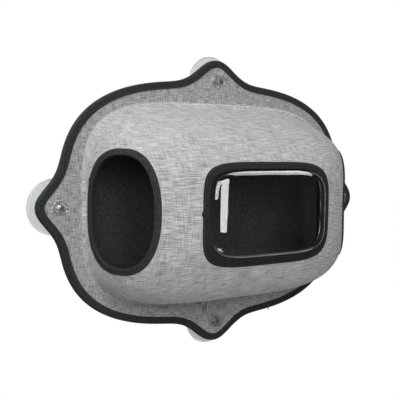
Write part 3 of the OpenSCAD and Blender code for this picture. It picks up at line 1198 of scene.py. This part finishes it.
@dataclass
class Binding:
    """Tape folded round an edge and sewn through near its outer edge."""

    name: str
    node: str
    shape: PodShape
    tape_w: float
    columns: int
    place: Callable[[Length, Length], Array]
    inner_s: float
    lap_at: float
    fold: float = 3.2 * MM
    dark: bool = False
    lap_spread: float = 0.9 * MM
    edge_r: float = 0.45 * MM
    crown: float = 0.25 * MM
    fold_power: float = 2.6
    fold_steps: int = 14
    sew_inset: float = 2.3 * MM
    seam_step: float = 0.45 * MM
    groove: float = 0.35 * MM
    groove_half: float = 0.7 * MM
    pucker: float = 0.16 * MM
    stitch: float = 4.2 * MM
    thread_r: float = 0.27 * MM
    thread_sides: int = 6
    lap_length: float = 15 * MM
    lap_t: float = 0.7 * MM
    lap_flare: float = 4 * MM

    def section(self) -> list[Triple]:
        """Gives the tape's section, once round from its outer edge on the front.

        Returns:
            Inset, depth, and the share with which the joint and the puckers move each point.
        """
        w, t, gap, r = self.tape_w, self.shape.tape_t, self.shape.bond_gap, self.edge_r
        top, low = -gap - t, self.inner_s + gap
        flat = w - self.fold
        insets = [r] + [self.sew_inset + k * self.seam_step for k in (-2, -1, 0, 1, 2)]
        insets += [self.sew_inset + (flat - self.sew_inset) * k for k in (0.45, 0.65, 0.85, 1)]

        def proud(inset: float) -> float:
            """Gives how far the tape stands proud: a crown with a groove at the seam."""
            dip = max(0.0, 1 - abs(inset - self.sew_inset) / self.groove_half)
            return self.crown * math.sin(math.pi * min(inset / w, 1)) - self.groove * dip

        rows = [(0, -gap, 0.2), (0, top + r, 1), (0.3 * r, top + 0.3 * r, 1)]
        rows += [(d, top - proud(d), 1) for d in insets]
        middle = (top + low + t) / 2
        half, power = middle - top + proud(flat), 2 / self.fold_power
        for k in range(1, self.fold_steps):
            a = math.pi * k / self.fold_steps - math.pi / 2
            c, s = math.cos(a), math.sin(a)
            rows.append((flat + self.fold * abs(c) ** power,
                         middle + half * math.copysign(abs(s) ** power, s), c * 0.5 if s > 0 else 1))
        rows += [(d, low + t + proud(d), 0) for d in insets[::-1]]
        rows += [(0, low + t - 0.3 * r, 0), (0, low, 0), (w * 0.5, low, 0), (w - t, low, 0),
                 (w - t, middle, 0), (w - t, -gap, 0), (w * 0.5, -gap, 0)]
        return rows

    def grid(self, section: Sequence[Triple], along: Array,
             total: float) -> Array:
        """Sweeps the section round the edge, with its puckers and its lapped joint.

        Args:
            section: The tape's section.
            along: Distance along the tape at each column.
            total: Its whole length.

        Returns:
            Points by place in the section, column and coordinate.
        """
        turns = along * TURN / total
        ripple = sum(np.sin(turns * round(total / length) + phase) * share for length, phase, share in (
            (self.stitch, 0, 0.45), (self.stitch * 3.7, 1, 0.3), (self.stitch * 9.1, 2, 0.25)))
        past = along - self.lap_at
        lap = np.clip((past + self.lap_length) / (self.lap_length * 0.7), 0, 1) * (past <= 0)
        rows = []
        for inset, depth, share in section:
            spread = self.lap_spread * lap ** 4 * max(0.0, 1 - inset / self.lap_flare) * (share > 0)
            rows.append(self.place(inset - spread, depth - share * (self.lap_t * lap + self.pucker * ripple)))
        return np.array(rows)

    def build(self, finishes: Finishes) -> None:
        """Builds the tape and its stitches, and dresses both.

        Args:
            finishes: The materials.
        """
        section = self.section()
        run = run_lengths(self.place(self.tape_w / 2, -self.shape.tape_t))
        along, total = run[:-1], float(run[-1])
        grid = self.grid(section, along, total)
        count, cols = grid.shape[:2]
        last = (count - 1) * cols
        faces = grid_faces(count, cols)
        faces += [(last + i, last + (i + 1) % cols, (i + 1) % cols, i) for i in range(cols)]
        obj = solid(self.name, grid.reshape(-1, 3), faces)
        around = run_lengths(np.array(section)[:, :2])
        across, girth = around[:-1], float(around[-1])
        uv = obj.data.uv_layers.new(name=CLOTH_MAP)
        for polygon in obj.data.polygons:
            ids = [obj.data.loops[k].vertex_index for k in polygon.loop_indices]
            us, vs = [along[i % cols] for i in ids], [across[i // cols] for i in ids]
            for k, u, v in zip(polygon.loop_indices, us, vs):
                uv.data[k].uv = (u + (total if max(us) - u > total / 2 else 0),
                                 v + (girth if max(vs) - v > girth / 2 else 0))
        settle(obj, SHEET_SMOOTH)
        ride(obj, BODY, finishes.dark_tape if self.dark else finishes.tape, [self.node])
        proud = self.shape.bond_gap + self.shape.tape_t - self.groove * 0.5
        threads = [self.stitches("front", -proud, -1), self.stitches("back", self.inner_s + proud, 1)]
        for thread in threads:
            ride(thread, BODY, finishes.thread)

    def stitches(self, face: str, depth: float, side: int) -> Object:
        """Makes the row of stitches on one face of the tape.

        Args:
            face: Name of the face.
            depth: Depth of the seam's line.
            side: -1 where the stitches stand out towards the front, 1 towards the back.

        Returns:
            The piece.
        """
        line = self.place(self.sew_inset, depth)
        out = self.place(self.sew_inset, depth + side * MM) - line
        out /= np.linalg.norm(out, axis=1)[:, None]
        along = run_lengths(line)
        lines, outs = np.concatenate([line, line[:1]]), np.concatenate([out, out[:1]])

        def at(table: Array, place: float) -> Array:
            """Reads a table of points at a distance along the seam."""
            return np.array([np.interp(place % along[-1], along, table[:, k]) for k in range(3)])

        number, length, thick = round(along[-1] / self.stitch), self.stitch * 0.8, self.thread_r
        shares = ((-0.5, -0.3, 0.35), (-0.36, 0.35, 0.85), (0, 0.75, 1), (0.36, 0.35, 0.85),
                  (0.5, -0.3, 0.35))
        points, faces = [], []
        for s in range(number):
            centre = (s + 0.5) * along[-1] / number
            faces += tube_faces(len(shares), self.thread_sides, len(points))
            tangent = at(lines, centre + 0.3 * length) - at(lines, centre - 0.3 * length)
            tangent /= np.linalg.norm(tangent)
            up = at(outs, centre)
            cross = np.cross(tangent, up)
            for share, lift, size in shares:
                place = at(lines, centre + share * length)
                for a in round_turn(self.thread_sides):
                    points.append(place + up * (lift * thick + size * thick * math.sin(a))
                                  + cross * size * thick * math.cos(a))
        return settle(solid(f"{self.name}_{face}_stitches", np.array(points), faces), ROUND_SMOOTH)


def rim_binding(shape: PodShape) -> Binding:
    """Describes the tape round the flange.

    Args:
        shape: The pod's shape.

    Returns:
        The binding.
    """
    columns, width = 960, 13 * MM

    def place(inset: Length, depth: Length) -> Array:
        """Gives the run of points at an inset and a depth. The fold is at the outline."""
        p = shape.rim(columns, width - inset)
        return np.stack([p[:, 0], np.broadcast_to(shape.flange_y + depth, columns), p[:, 1]], -1)

    return Binding("rim_tape", "rim_binding", shape, width, columns, place, shape.stack_s, lap_at=1.42)


def hole_binding(name: str, node: str, hole: Hole, columns: int, lap_at: float,
                 **sizes: float | bool) -> Binding:
    """Describes the tape round a hole.

    Args:
        name: Name of the piece.
        node: The frame's node that it stands for.
        hole: The hole.
        columns: How many steps go round it.
        lap_at: Where its joint is, in metres along it.
        **sizes: What differs from other tapes.

    Returns:
        The binding.
    """
    def place(inset: Length, depth: Length) -> Array:
        """Gives the run of points at an inset and a depth."""
        return hole.on_wall(hole.edge(columns, inset), depth)

    return Binding(name, node, hole.shape, hole.tape_w, columns, place, hole.shape.wall_s, lap_at, **sizes)


@dataclass
class LooseThreads:
    """Short bits of thread: two cut ends at the rim's seam, and two tacking stitches under the dome."""

    shape: PodShape
    thick: float = 0.55 * MM
    tip: float = 0.45
    sides: int = 8

    def threads(self, name: str, runs: Sequence[Sequence[Triple]]) -> Object:
        """Makes round threads that taper at both ends.

        Args:
            name: Name of the piece.
            runs: Each thread's points, in millimetres, with Y measured in front of the flange.

        Returns:
            The piece.
        """
        points, faces = [], []
        for run in runs:
            line = np.array(run) * (MM, -MM, MM) + (0, self.shape.flange_y, 0)
            share = np.linspace(0, len(line) - 1, 4 * len(line))
            line = np.stack([np.interp(share, np.arange(len(line)), line[:, k]) for k in range(3)], -1)
            line[1:-1] = (line[:-2] + 2 * line[1:-1] + line[2:]) / 4
            faces += tube_faces(len(line), self.sides, len(points))
            for k, tangent in enumerate(np.gradient(line, axis=0)):
                cross = np.cross(tangent, (0, -1, 0))
                cross /= np.linalg.norm(cross)
                up = np.cross(cross, tangent / np.linalg.norm(tangent))
                r = self.thick * (self.tip if k in (0, len(line) - 1) else 1)
                points += [line[k] + r * (cross * math.cos(a) + up * math.sin(a))
                           for a in round_turn(self.sides)]
        return settle(solid(name, np.array(points), faces), ROUND_SMOOTH)

    def build(self, finishes: Finishes) -> None:
        """Builds and dresses both.

        Args:
            finishes: The materials.
        """
        ends = [[(125.8, 1.9, -201.5), (127.0, 1.9, -205.0), (129.0, 0.8, -211.4)],
                [(127.9, 1.9, -202.5), (127.4, 1.9, -205.0), (126.2, 1.2, -210.0)]]
        tacks = [[(x, 0.0, -187.2), (x + 0.9, 0.35, -189.4), (x + 1.2, 0.4, -191.5), (x + 0.9, 0.35, -193.6),
                  (x, 0.0, -196.0)] for x in (-24.6, -19.8)]
        for name, runs in (("rim_thread_ends", ends), ("tacking_stitches", tacks)):
            ride(self.threads(name, runs), BODY, finishes.thread)


@dataclass
class BubbleWindow:
    """The clear sheet blown forward through the window, with its lip sewn behind the tape."""

    shape: PodShape
    hole: Hole
    gap: float = 0.4 * MM
    thick: float = 1.5 * MM
    rise: float = 25 * MM
    power: float = 3.4
    columns: int = 160
    rings: int = 22
    unevenness: float = 0.35 * MM

    def build(self, finishes: Finishes) -> None:
        """Builds and dresses the bubble: rings extruded and drawn in, one after the other.

        Args:
            finishes: The materials.
        """
        shape, hole, columns = self.shape, self.hole, self.columns
        middle, centre_z = hole.lean[0], hole.centre[2] + hole.lean[1]
        w, h = hole.width / 2 - hole.tape_w - self.gap, hole.height / 2 - hole.tape_w - self.gap
        depth = shape.wall_s + shape.bond_gap + shape.tape_t + self.gap
        side_y = float(shape.front_y(np.array([w]), np.array([centre_z]), 0)[0])
        deselect()
        bpy.ops.mesh.primitive_circle_add(vertices=columns, radius=w, fill_type="NOTHING")
        obj = added("window_bubble")
        edit_all()
        bpy.ops.mesh.extrude_edges_move()
        bpy.ops.object.mode_set(mode="OBJECT")
        for start, extra in ((0, hole.tape_w / 2), (columns, 0)):
            flat = super_point(w + extra, h + extra, round_turn(columns), hole.power) + (middle, 0)
            y = shape.front_y(flat[:, 0], flat[:, 1] + centre_z, depth)
            for i, (x, z) in enumerate(flat):
                obj.data.vertices[start + i].co = (x, y[i], z + centre_z)
        bpy.ops.object.mode_set(mode="EDIT")
        self.select_from(obj, columns)
        self.blow((middle, side_y - self.rise, centre_z))
        bpy.ops.mesh.select_all(action="SELECT")
        bpy.ops.mesh.normals_make_consistent(inside=False)
        bpy.ops.object.mode_set(mode="OBJECT")
        for v in obj.data.vertices:
            share = min(1.0, max(0.0, (side_y - v.co.y) / self.rise))
            v.co.y += self.unevenness * share * self.wave(v.co.x, v.co.z)
        sheet = obj.modifiers.new("thickness", "SOLIDIFY")
        sheet.thickness, sheet.offset = self.thick, -1
        apply_modifiers(obj)
        if min(obj.data.polygons, key=lambda p: p.center.y).normal.y > 0:
            obj.data.flip_normals()
        settle(obj, ROUND_SMOOTH)
        ride(obj, BODY, finishes.bubble, ["bubble_window"])

    @staticmethod
    def wave(x: float, z: float) -> float:
        """Gives the blown sheet's slight unevenness at a place."""
        return math.sin(x * 46 + 0.7) * math.sin(z * 58 + 1.1) + 0.5 * math.sin(x * 97 + z * 71)

    def blow(self, centre: Triple) -> None:
        """Extrudes the selected ring forwards in steps, draws each step in, and closes the face.

        Args:
            centre: Middle of the bubble's face.
        """
        drawn, left = 1.0, 1.0
        for k in range(1, self.rings):
            turn = k / self.rings * TURN / 4
            r = float(super_r(np.array([turn]), self.power)[0])
            inwards, remaining = r * math.cos(turn), 1 - r * math.sin(turn)
            bpy.ops.mesh.extrude_edges_move()
            bpy.ops.transform.resize(value=(inwards / drawn, remaining / left, inwards / drawn),
                                     center_override=centre)
            drawn, left = inwards, remaining
        bpy.ops.mesh.edge_face_add()
        bpy.ops.mesh.poke()

    @staticmethod
    def select_from(obj: Object, start: int) -> None:
        """Selects the vertices from a number on, with the edges between them.

        Args:
            obj: The piece in edit mode.
            start: Number of the first vertex.
        """
        bpy.ops.mesh.select_all(action="DESELECT")
        mesh = bmesh.from_edit_mesh(obj.data)
        mesh.verts.ensure_lookup_table()
        for v in mesh.verts[start:]:
            v.select = True
        mesh.select_flush(True)
        bmesh.update_edit_mesh(obj.data)


def arc(cx: float, cy: float, r: float, start: float, end: float, steps: int) -> list[tuple[float, float]]:
    """Gives points of an arc between two angles in degrees."""
    turns = [math.radians(start + (end - start) * k / steps) for k in range(steps + 1)]
    return [(cx + r * math.cos(t), cy + r * math.sin(t)) for t in turns]


def lathe(name: str, profile: Sequence[tuple[float, float]], steps: int = 96,
          closed: bool = False) -> Object:
    """Spins a profile about the Y axis.

    Args:
        name: Name of the piece.
        profile: Points as radius and distance in front of the glass.
        steps: Steps once round.
        closed: Whether the profile closes on itself, as a ring's does.

    Returns:
        The piece.
    """
    deselect()
    bpy.ops.mesh.primitive_plane_add(size=MM)
    obj = added(name)
    edit_all()
    bpy.ops.mesh.merge(type="CENTER")
    bpy.ops.transform.translate(value=(profile[0][0], -profile[0][1], 0))
    for (r0, y0), (r1, y1) in zip(profile, profile[1:]):
        bpy.ops.mesh.extrude_vertices_move(TRANSFORM_OT_translate={"value": (r1 - r0, y0 - y1, 0)})
    if closed:
        mesh = bmesh.from_edit_mesh(obj.data)
        mesh.verts.ensure_lookup_table()
        for v in (mesh.verts[0], mesh.verts[-1]):
            v.select = True
        bmesh.update_edit_mesh(obj.data)
        bpy.ops.mesh.edge_face_add()
    bpy.ops.mesh.select_all(action="SELECT")
    bpy.ops.mesh.spin(steps=steps, angle=TURN, center=(0, 0, 0), axis=(0, 1, 0))
    bpy.ops.object.mode_set(mode="OBJECT")
    face_out(obj)
    return obj


@dataclass
class Hardware:
    """One suction cup with its stud, washers and knob, modelled once and copied to each tab."""

    shape: PodShape
    cup_r: float = 46 * MM
    cup_seat_r: float = 38 * MM
    cup_h: float = 11 * MM
    neck_r: float = 12 * MM
    neck_edge: float = 0.5 * MM
    edge_t: float = 1.5 * MM
    hollow: float = 2 * MM
    stud_r: float = 4 * MM
    head_r: float = 8 * MM
    head_t: float = 2 * MM
    chamfer: float = 0.3 * MM
    reach: float = 10 * MM
    pitch: float = 1.5 * MM
    thread_h: float = 0.55 * MM
    thread_start: float = 1 * MM
    washer_r: float = 13 * MM
    washer_t: float = 1.2 * MM
    washer_edge: float = 0.35 * MM
    washer_play: float = 0.4 * MM
    knob_r: float = 12 * MM
    knob_play: float = 0.08 * MM
    grip_r: float = 10.5 * MM
    knob_h: float = 14 * MM
    skirt_h: float = 2.5 * MM
    flute_r: float = 3 * MM
    flute_from: float = 2 * MM
    flutes: int = 8
    dish: float = 0.8 * MM
    seat_gap: float = 0.05 * MM
    cup_steps: int = 128
    stud_steps: int = 48
    flute_sides: int = 40
    edge_deg: float = 38
    edge_w: float = 0.25 * MM
    thread_play: float = 0.03 * MM
    tip_taper: float = 1 * MM
    smooth_deg: float = 40
    stud_smooth_deg: float = 35
    knob_smooth_deg: float = 32

    @property
    def front_washer(self) -> float:
        """Distance of the front washer's back from the glass."""
        return -self.shape.flange_y + self.seat_gap

    @property
    def knob_at(self) -> float:
        """Distance of the knob's foot from the glass."""
        return self.front_washer + self.washer_t + self.seat_gap

    @property
    def tip(self) -> float:
        """Distance of the stud's tip from the glass."""
        return self.front_washer + self.washer_t + self.reach

    def cup(self) -> Object:
        """Models the pressed cup: a thin disc with a rounded lip, a ridge and a neck round the stud's head.

        Returns:
            The piece.
        """
        r, seat, t, neck, h = self.cup_r, self.cup_seat_r, self.edge_t, self.neck_r, self.cup_h
        middle, gap, lip, e, c = h / 2, self.shape.bond_gap, t * 0.45, self.neck_edge, self.chamfer
        slope = (middle - t) / (r - neck - t)
        profile = [(seat * at, self.hollow * share) for at, share in (
            (0, 1), (0.35, 0.97), (0.7, 0.62), (0.9, 0.2), (1, 0))]
        profile += arc(r - lip, lip, lip, -90, 60, 6)
        profile += [(r * at, t + (r - r * at) * slope + rise * MM) for at, rise in (
            (0.962, 0), (0.945, 0.25), (0.925, 0.25), (0.908, 0), (0.80, -0.12), (0.62, -0.22),
            (0.45, -0.15))]
        profile += arc(neck + t * 1.1, middle + t * 1.2, t * 1.1, 250, 180, 4)
        profile += [(neck, h - e)] + arc(neck - e, h - e, e, 20, 90, 3)
        bore, head = self.stud_r + gap, self.head_r + gap
        front, back = middle + self.head_t / 2 + gap, middle - self.head_t / 2 - gap
        profile += [(bore + c, h), (bore, h - c), (bore, front), (head, front), (head, back), (0, back)]
        return settle(lathe("suction_cup", profile, self.cup_steps), self.smooth_deg)

    def stud(self) -> Object:
        """Models the stud: a head, a plain neck, and a thread that runs to a chamfered tip.

        Returns:
            The piece.
        """
        middle, r, head, c = self.cup_h / 2, self.stud_r, self.head_r, self.chamfer
        back, front = middle - self.head_t / 2, middle + self.head_t / 2
        thread_from = self.cup_h + self.thread_start
        rings = round((self.tip - thread_from) / (self.pitch / 8))
        profile = [(0, back), (head - c, back), (head, back + c), (head, front - c), (head - c, front),
                   (r, front)]
        profile += [(r, thread_from + (self.tip - thread_from) * k / rings) for k in range(rings + 1)]
        obj = lathe("stud", profile + [(0, self.tip)], self.stud_steps)
        for v in obj.data.vertices:
            radius, out = math.hypot(v.co.x, v.co.z), -v.co.y
            if r * 0.9 < radius < r * 1.1 and out > thread_from:
                phase = (out / self.pitch - math.atan2(v.co.z, v.co.x) / TURN) % 1
                depth = self.thread_h * min(1.0, max(0.0, abs(phase - 0.5) * 3.2 - 0.3))
                end = max(0.0, out - (self.tip - self.tip_taper))
                scale = (r - self.thread_play - max(depth, end * 0.8)) / radius
                v.co.x, v.co.z = v.co.x * scale, v.co.z * scale
        return settle(obj, self.stud_smooth_deg)

    def washer(self, name: str, at: float) -> Object:
        """Models a washer with rounded edges.

        Args:
            name: Name of the piece.
            at: Distance of its back from the glass.

        Returns:
            The piece.
        """
        e, low, high = self.washer_edge, at + self.washer_edge, at + self.washer_t - self.washer_edge
        inner, outer = self.stud_r + self.washer_play + e, self.washer_r - e
        profile = []
        for r, y, start in ((outer, low, -90), (outer, high, 0), (inner, high, 90), (inner, low, 180)):
            profile += arc(r, y, e, start, start + 90, 3)
        return settle(lathe(name, profile, closed=True), self.smooth_deg)

    def knob(self) -> Object:
        """Models the clear knob: skirt, fluted grip with a rounded, dished top, and a threaded blind bore.

        Returns:
            The piece.
        """
        at, r, grip, h, e = self.knob_at, self.knob_r, self.grip_r, self.knob_h, self.chamfer
        skirt, top = at + self.skirt_h, at + h
        bore, top_r = self.stud_r + self.knob_play, h / 7
        end = self.tip + self.pitch
        profile = [(0.0, end)]
        for k in range(int((end - at) / self.pitch), 0, -1):
            profile += [(bore, at + (k - 0.25) * self.pitch),
                        (bore + self.thread_h, at + (k - 0.75) * self.pitch)]
        profile += [(bore + 0.6 * MM, at)] + arc(r - e, at + e, e, -90, 0, 3)
        profile += arc(r - e, skirt - e, e, 0, 60, 3)
        profile += [(grip, skirt + r - grip), (grip, top - top_r)]
        profile += arc(grip - top_r, top - top_r, top_r, 15, 90, 5)
        profile += [(grip - top_r - 1.2 * MM, top), (grip - top_r - 2 * MM, top - 0.7 * MM),
                    (0, top - self.dish)]
        obj = lathe("knob", profile)
        bars, out = [], grip + self.flute_r / 2
        for k in range(self.flutes):
            turn = k / self.flutes * TURN
            place = (out * math.cos(turn), -(skirt + self.flute_from + h / 2), out * math.sin(turn))
            deselect()
            bpy.ops.mesh.primitive_cylinder_add(vertices=self.flute_sides, radius=self.flute_r, depth=h,
                                                location=place, rotation=(TURN / 4, 0, 0))
            bars.append(settle(added(f"flute_{k}"), None))
        activate(bars[0])
        for bar in bars:
            bar.select_set(True)
        bpy.ops.object.join()
        cut_out(obj, bars[0], "EXACT")
        bpy.data.objects.remove(bars[0])
        soft = obj.modifiers.new("edges", "BEVEL")
        soft.limit_method, soft.angle_limit = "ANGLE", math.radians(self.edge_deg)
        soft.width, soft.segments, soft.use_clamp_overlap = self.edge_w, 2, True
        apply_modifiers(obj)
        return settle(obj, self.knob_smooth_deg)

    @staticmethod
    def copied(model: Object, name: str, place: Vector) -> Object:
        """Copies a model, with a mesh of its own.

        Args:
            model: The model.
            name: Name of the copy.
            place: How far the copy's mesh is moved.

        Returns:
            The copy.
        """
        obj = model.copy()
        obj.data = model.data.copy()
        obj.name = obj.data.name = name
        bpy.context.scene.collection.objects.link(obj)
        obj.data.transform(Matrix.Translation(place))
        return obj

    def build(self, finishes: Finishes) -> None:
        """Models each piece once, and sets and dresses a copy of it at each tab.

        Args:
            finishes: The materials.
        """
        back_washer = -self.shape.flange_y - self.shape.stack_s - self.seat_gap - self.washer_t
        models = {
            "suction_cup": (self.cup(), Slot.CUP, finishes.vinyl),
            "stud": (self.stud(), Slot.STUD, finishes.stud),
            "back_washer": (self.washer("back_washer", back_washer), Slot.WASHER, finishes.washer),
            "front_washer": (self.washer("front_washer", self.front_washer), Slot.WASHER, finishes.washer),
            "knob": (self.knob(), Slot.KNOB, finishes.knob),
        }
        for side in Side:
            label = side.name.lower()
            for kind, (model, slot, finish) in models.items():
                node = f"{label}_{kind}"
                body = {"front_washer": f"{label}_washer", "knob": f"{label}_knob"}.get(kind, BODY)
                ride(self.copied(model, f"{node}_clear", self.shape.stud(side)), body, finish, [node])
        for model, _, _ in models.values():
            bpy.data.objects.remove(model)


def seen_by(nodes: Nodes) -> tuple[Socket, Socket]:
    """Says how a ray came to the surroundings.

    Args:
        nodes: The node tree.

    Returns:
        1 where the camera sees them, straight or through something clear, and 1 where they are
        mirrored on the way, in metal, glass or plastic.
    """
    ray = nodes.add("ShaderNodeLightPath").outputs
    mirrored = nodes.maths("MINIMUM", nodes.maths("ADD", ray["Is Glossy Ray"], ray["Glossy Depth"]), 1)
    through = nodes.maths("MULTIPLY", ray["Is Transmission Ray"], nodes.maths("SUBTRACT", 1, mirrored))
    return nodes.maths("MAXIMUM", ray["Is Camera Ray"], through), mirrored


@dataclass(frozen=True)
class SoftLight:
    """A rectangular soft light that faces the pod, from a direction in degrees and a power in watts.

    The azimuth is 0 in front of the pod and positive to its right.
    """

    name: str
    azimuth: float
    elevation: float
    size: tuple[float, float]
    power: float
    reach: float = 2.2


@dataclass
class Studio:
    """Camera, lights, floor and the white surroundings."""

    distance: float = 1.359
    azimuth: float = math.radians(34.64)
    elevation: float = math.radians(4.05)
    roll: float = math.radians(0.70)
    focal_px: float = 762.0
    frame_px: float = 400.0
    sensor: float = 36.0
    clip: tuple[float, float] = (0.05, 50)
    target: Triple = (-0.035, -0.0237, 0.005)
    aim: Triple = (0, -0.1, 0)
    floor_z: float = -1.0
    floor_r: float = 1.45
    lamps: tuple[SoftLight, ...] = (
        SoftLight("front", -8, 25, (1.0, 1.0), 25), SoftLight("low", 40, -5, (1.0, 1.0), 8),
        SoftLight("key", -52, 26, (1.0, 1.0), 28), SoftLight("side", -80, 55, (1.2, 1.2), 31),
        SoftLight("overhead", -40, 78, (1.4, 1.0), 7), SoftLight("behind", 198, 35, (1.6, 1.2), 24))
    panels: tuple[SoftLight, ...] = (
        SoftLight("tall_panel", -16, 28, (1.3, 3.2), 110), SoftLight("panel", -64, 30, (1.4, 2.6), 80),
        SoftLight("high_panel", 100, 54, (1.6, 1.4), 20), SoftLight("rear_panel", 200, 35, (1.2, 1.6), 45),
        SoftLight("low_panel", -54, -57, (0.38, 0.3), 2, 0.95))

    def camera(self) -> None:
        """Sets the camera at the photograph's place, with its field of view."""
        th, ph = self.azimuth, self.elevation
        back = Vector((-math.sin(th) * math.cos(ph), -math.cos(th) * math.cos(ph), math.sin(ph)))
        right = Vector((math.cos(th), -math.sin(th), 0))
        turned = right * math.cos(self.roll) + back.cross(right) * math.sin(self.roll)
        data = bpy.data.cameras.new("camera")
        data.sensor_width, data.lens = self.sensor, self.focal_px / self.frame_px * self.sensor
        data.clip_start, data.clip_end = self.clip
        camera = bpy.data.objects.new("camera", data)
        camera.matrix_world = Matrix((turned, back.cross(turned), back)).transposed().to_4x4()
        camera.location = Vector(self.target) + back * self.distance
        bpy.context.scene.collection.objects.link(camera)
        bpy.context.scene.camera = camera

    def light(self, soft: SoftLight) -> Object:
        """Adds one soft light.

        Args:
            soft: Its description.

        Returns:
            The light.
        """
        a, e = math.radians(soft.azimuth), math.radians(soft.elevation)
        away = Vector((math.sin(a) * math.cos(e), -math.cos(a) * math.cos(e), math.sin(e))) * soft.reach
        data = bpy.data.lights.new(soft.name, "AREA")
        data.shape, data.size, data.size_y, data.energy = "RECTANGLE", soft.size[0], soft.size[1], soft.power
        lamp = bpy.data.objects.new(soft.name, data)
        lamp.location = away + Vector(self.aim)
        lamp.rotation_euler = (-away).to_track_quat("-Z", "Y").to_euler()
        bpy.context.scene.collection.objects.link(lamp)
        return lamp

    def lights(self) -> None:
        """Adds the soft lights, then the panels that only show as reflections on what shines."""
        for lamp in [self.light(soft) for soft in self.lamps]:
            lamp.visible_glossy = lamp.visible_transmission = False
        for panel in [self.light(soft) for soft in self.panels]:
            panel.visible_diffuse = panel.visible_camera = False

    @staticmethod
    def world() -> None:
        """Makes surroundings that look white, and dim in front for what shines to reflect."""
        world = bpy.data.worlds.new("surroundings")
        bpy.context.scene.world = world
        world.use_nodes = True
        n = Nodes(world.node_tree)
        clear, mirrored = seen_by(n)
        away = n.split(n.add("ShaderNodeTexCoord").outputs["Generated"])
        dim = n.maths("MULTIPLY", n.level(away[1], 0.25, 0.7, 0.015, 1.0),
                      n.level(away[2], -0.5, 0.0, 0.25, 1.0))
        strength = n.blend(clear, n.blend(mirrored, 0.06, dim), 1.0)
        light = n.add("ShaderNodeBackground", {"Color": grey(1), "Strength": strength})
        n.add("ShaderNodeOutputWorld", {"Surface": light.outputs[0]})

    def floor(self) -> None:
        """Adds a pale round floor far below, which keeps the shadow and fades to white at its edge."""
        deselect()
        bpy.ops.mesh.primitive_circle_add(vertices=96, radius=self.floor_r, fill_type="NGON",
                                          location=(0, 0, self.floor_z))
        floor = settle(added("floor"), None)
        material = bpy.data.materials.new("pale_floor")
        material.use_nodes = True
        n = Nodes(material.node_tree)
        clear, mirrored = seen_by(n)
        place = n.place()
        level = n.add("ShaderNodeVectorMath", {0: place, 1: (1, 1, 0)}, operation="MULTIPLY").outputs[0]
        far = n.add("ShaderNodeVectorMath", {0: level}, operation="LENGTH").outputs["Value"]
        share = n.maths("MAXIMUM", n.maths("MULTIPLY", clear, n.level(far, 0.2, 1.3, 0.55, 1.0)), mirrored)
        behind = n.level(n.split(place)[1], -0.4, 0.8, 0.03, 0.8)
        matt = n.add("ShaderNodeBsdfDiffuse", {"Color": grey(0.8)})
        white = n.add("ShaderNodeEmission", {"Color": grey(1), "Strength": n.blend(mirrored, 1.0, behind)})
        mix = n.add("ShaderNodeMixShader", {0: share, 1: matt.outputs[0], 2: white.outputs[0]})
        n.add("ShaderNodeOutputMaterial", {"Surface": mix.outputs[0]})
        floor.data.materials.append(material)

    def build(self) -> None:
        """Builds the studio."""
        self.camera()
        self.lights()
        self.world()
        self.floor()
        bpy.context.scene.view_settings.view_transform = "Standard"


def main() -> None:
    """Builds the pod's pieces in order."""
    logging.basicConfig(level=logging.INFO, format="%(name)s: %(message)s")
    Studio().build()
    finishes = Finishes()
    shape = PodShape()
    front, left, right = window(shape), porthole(shape, -1), porthole(shape, 1)
    for part in (PodWall(shape, [front, left, right]), BackPanel(shape), rim_binding(shape),
                 hole_binding("window_tape", "window_binding", front, 480, 0.37, fold=1.8 * MM, dark=True,
                              lap_spread=2.2 * MM),
                 hole_binding("left_porthole_tape", "left_porthole_binding", left, 360, 0.05),
                 hole_binding("right_porthole_tape", "right_porthole_binding", right, 360, 0.05),
                 LooseThreads(shape), BubbleWindow(shape, front), Hardware(shape)):
        part.build(finishes)


if __name__ == "__main__":
    main()
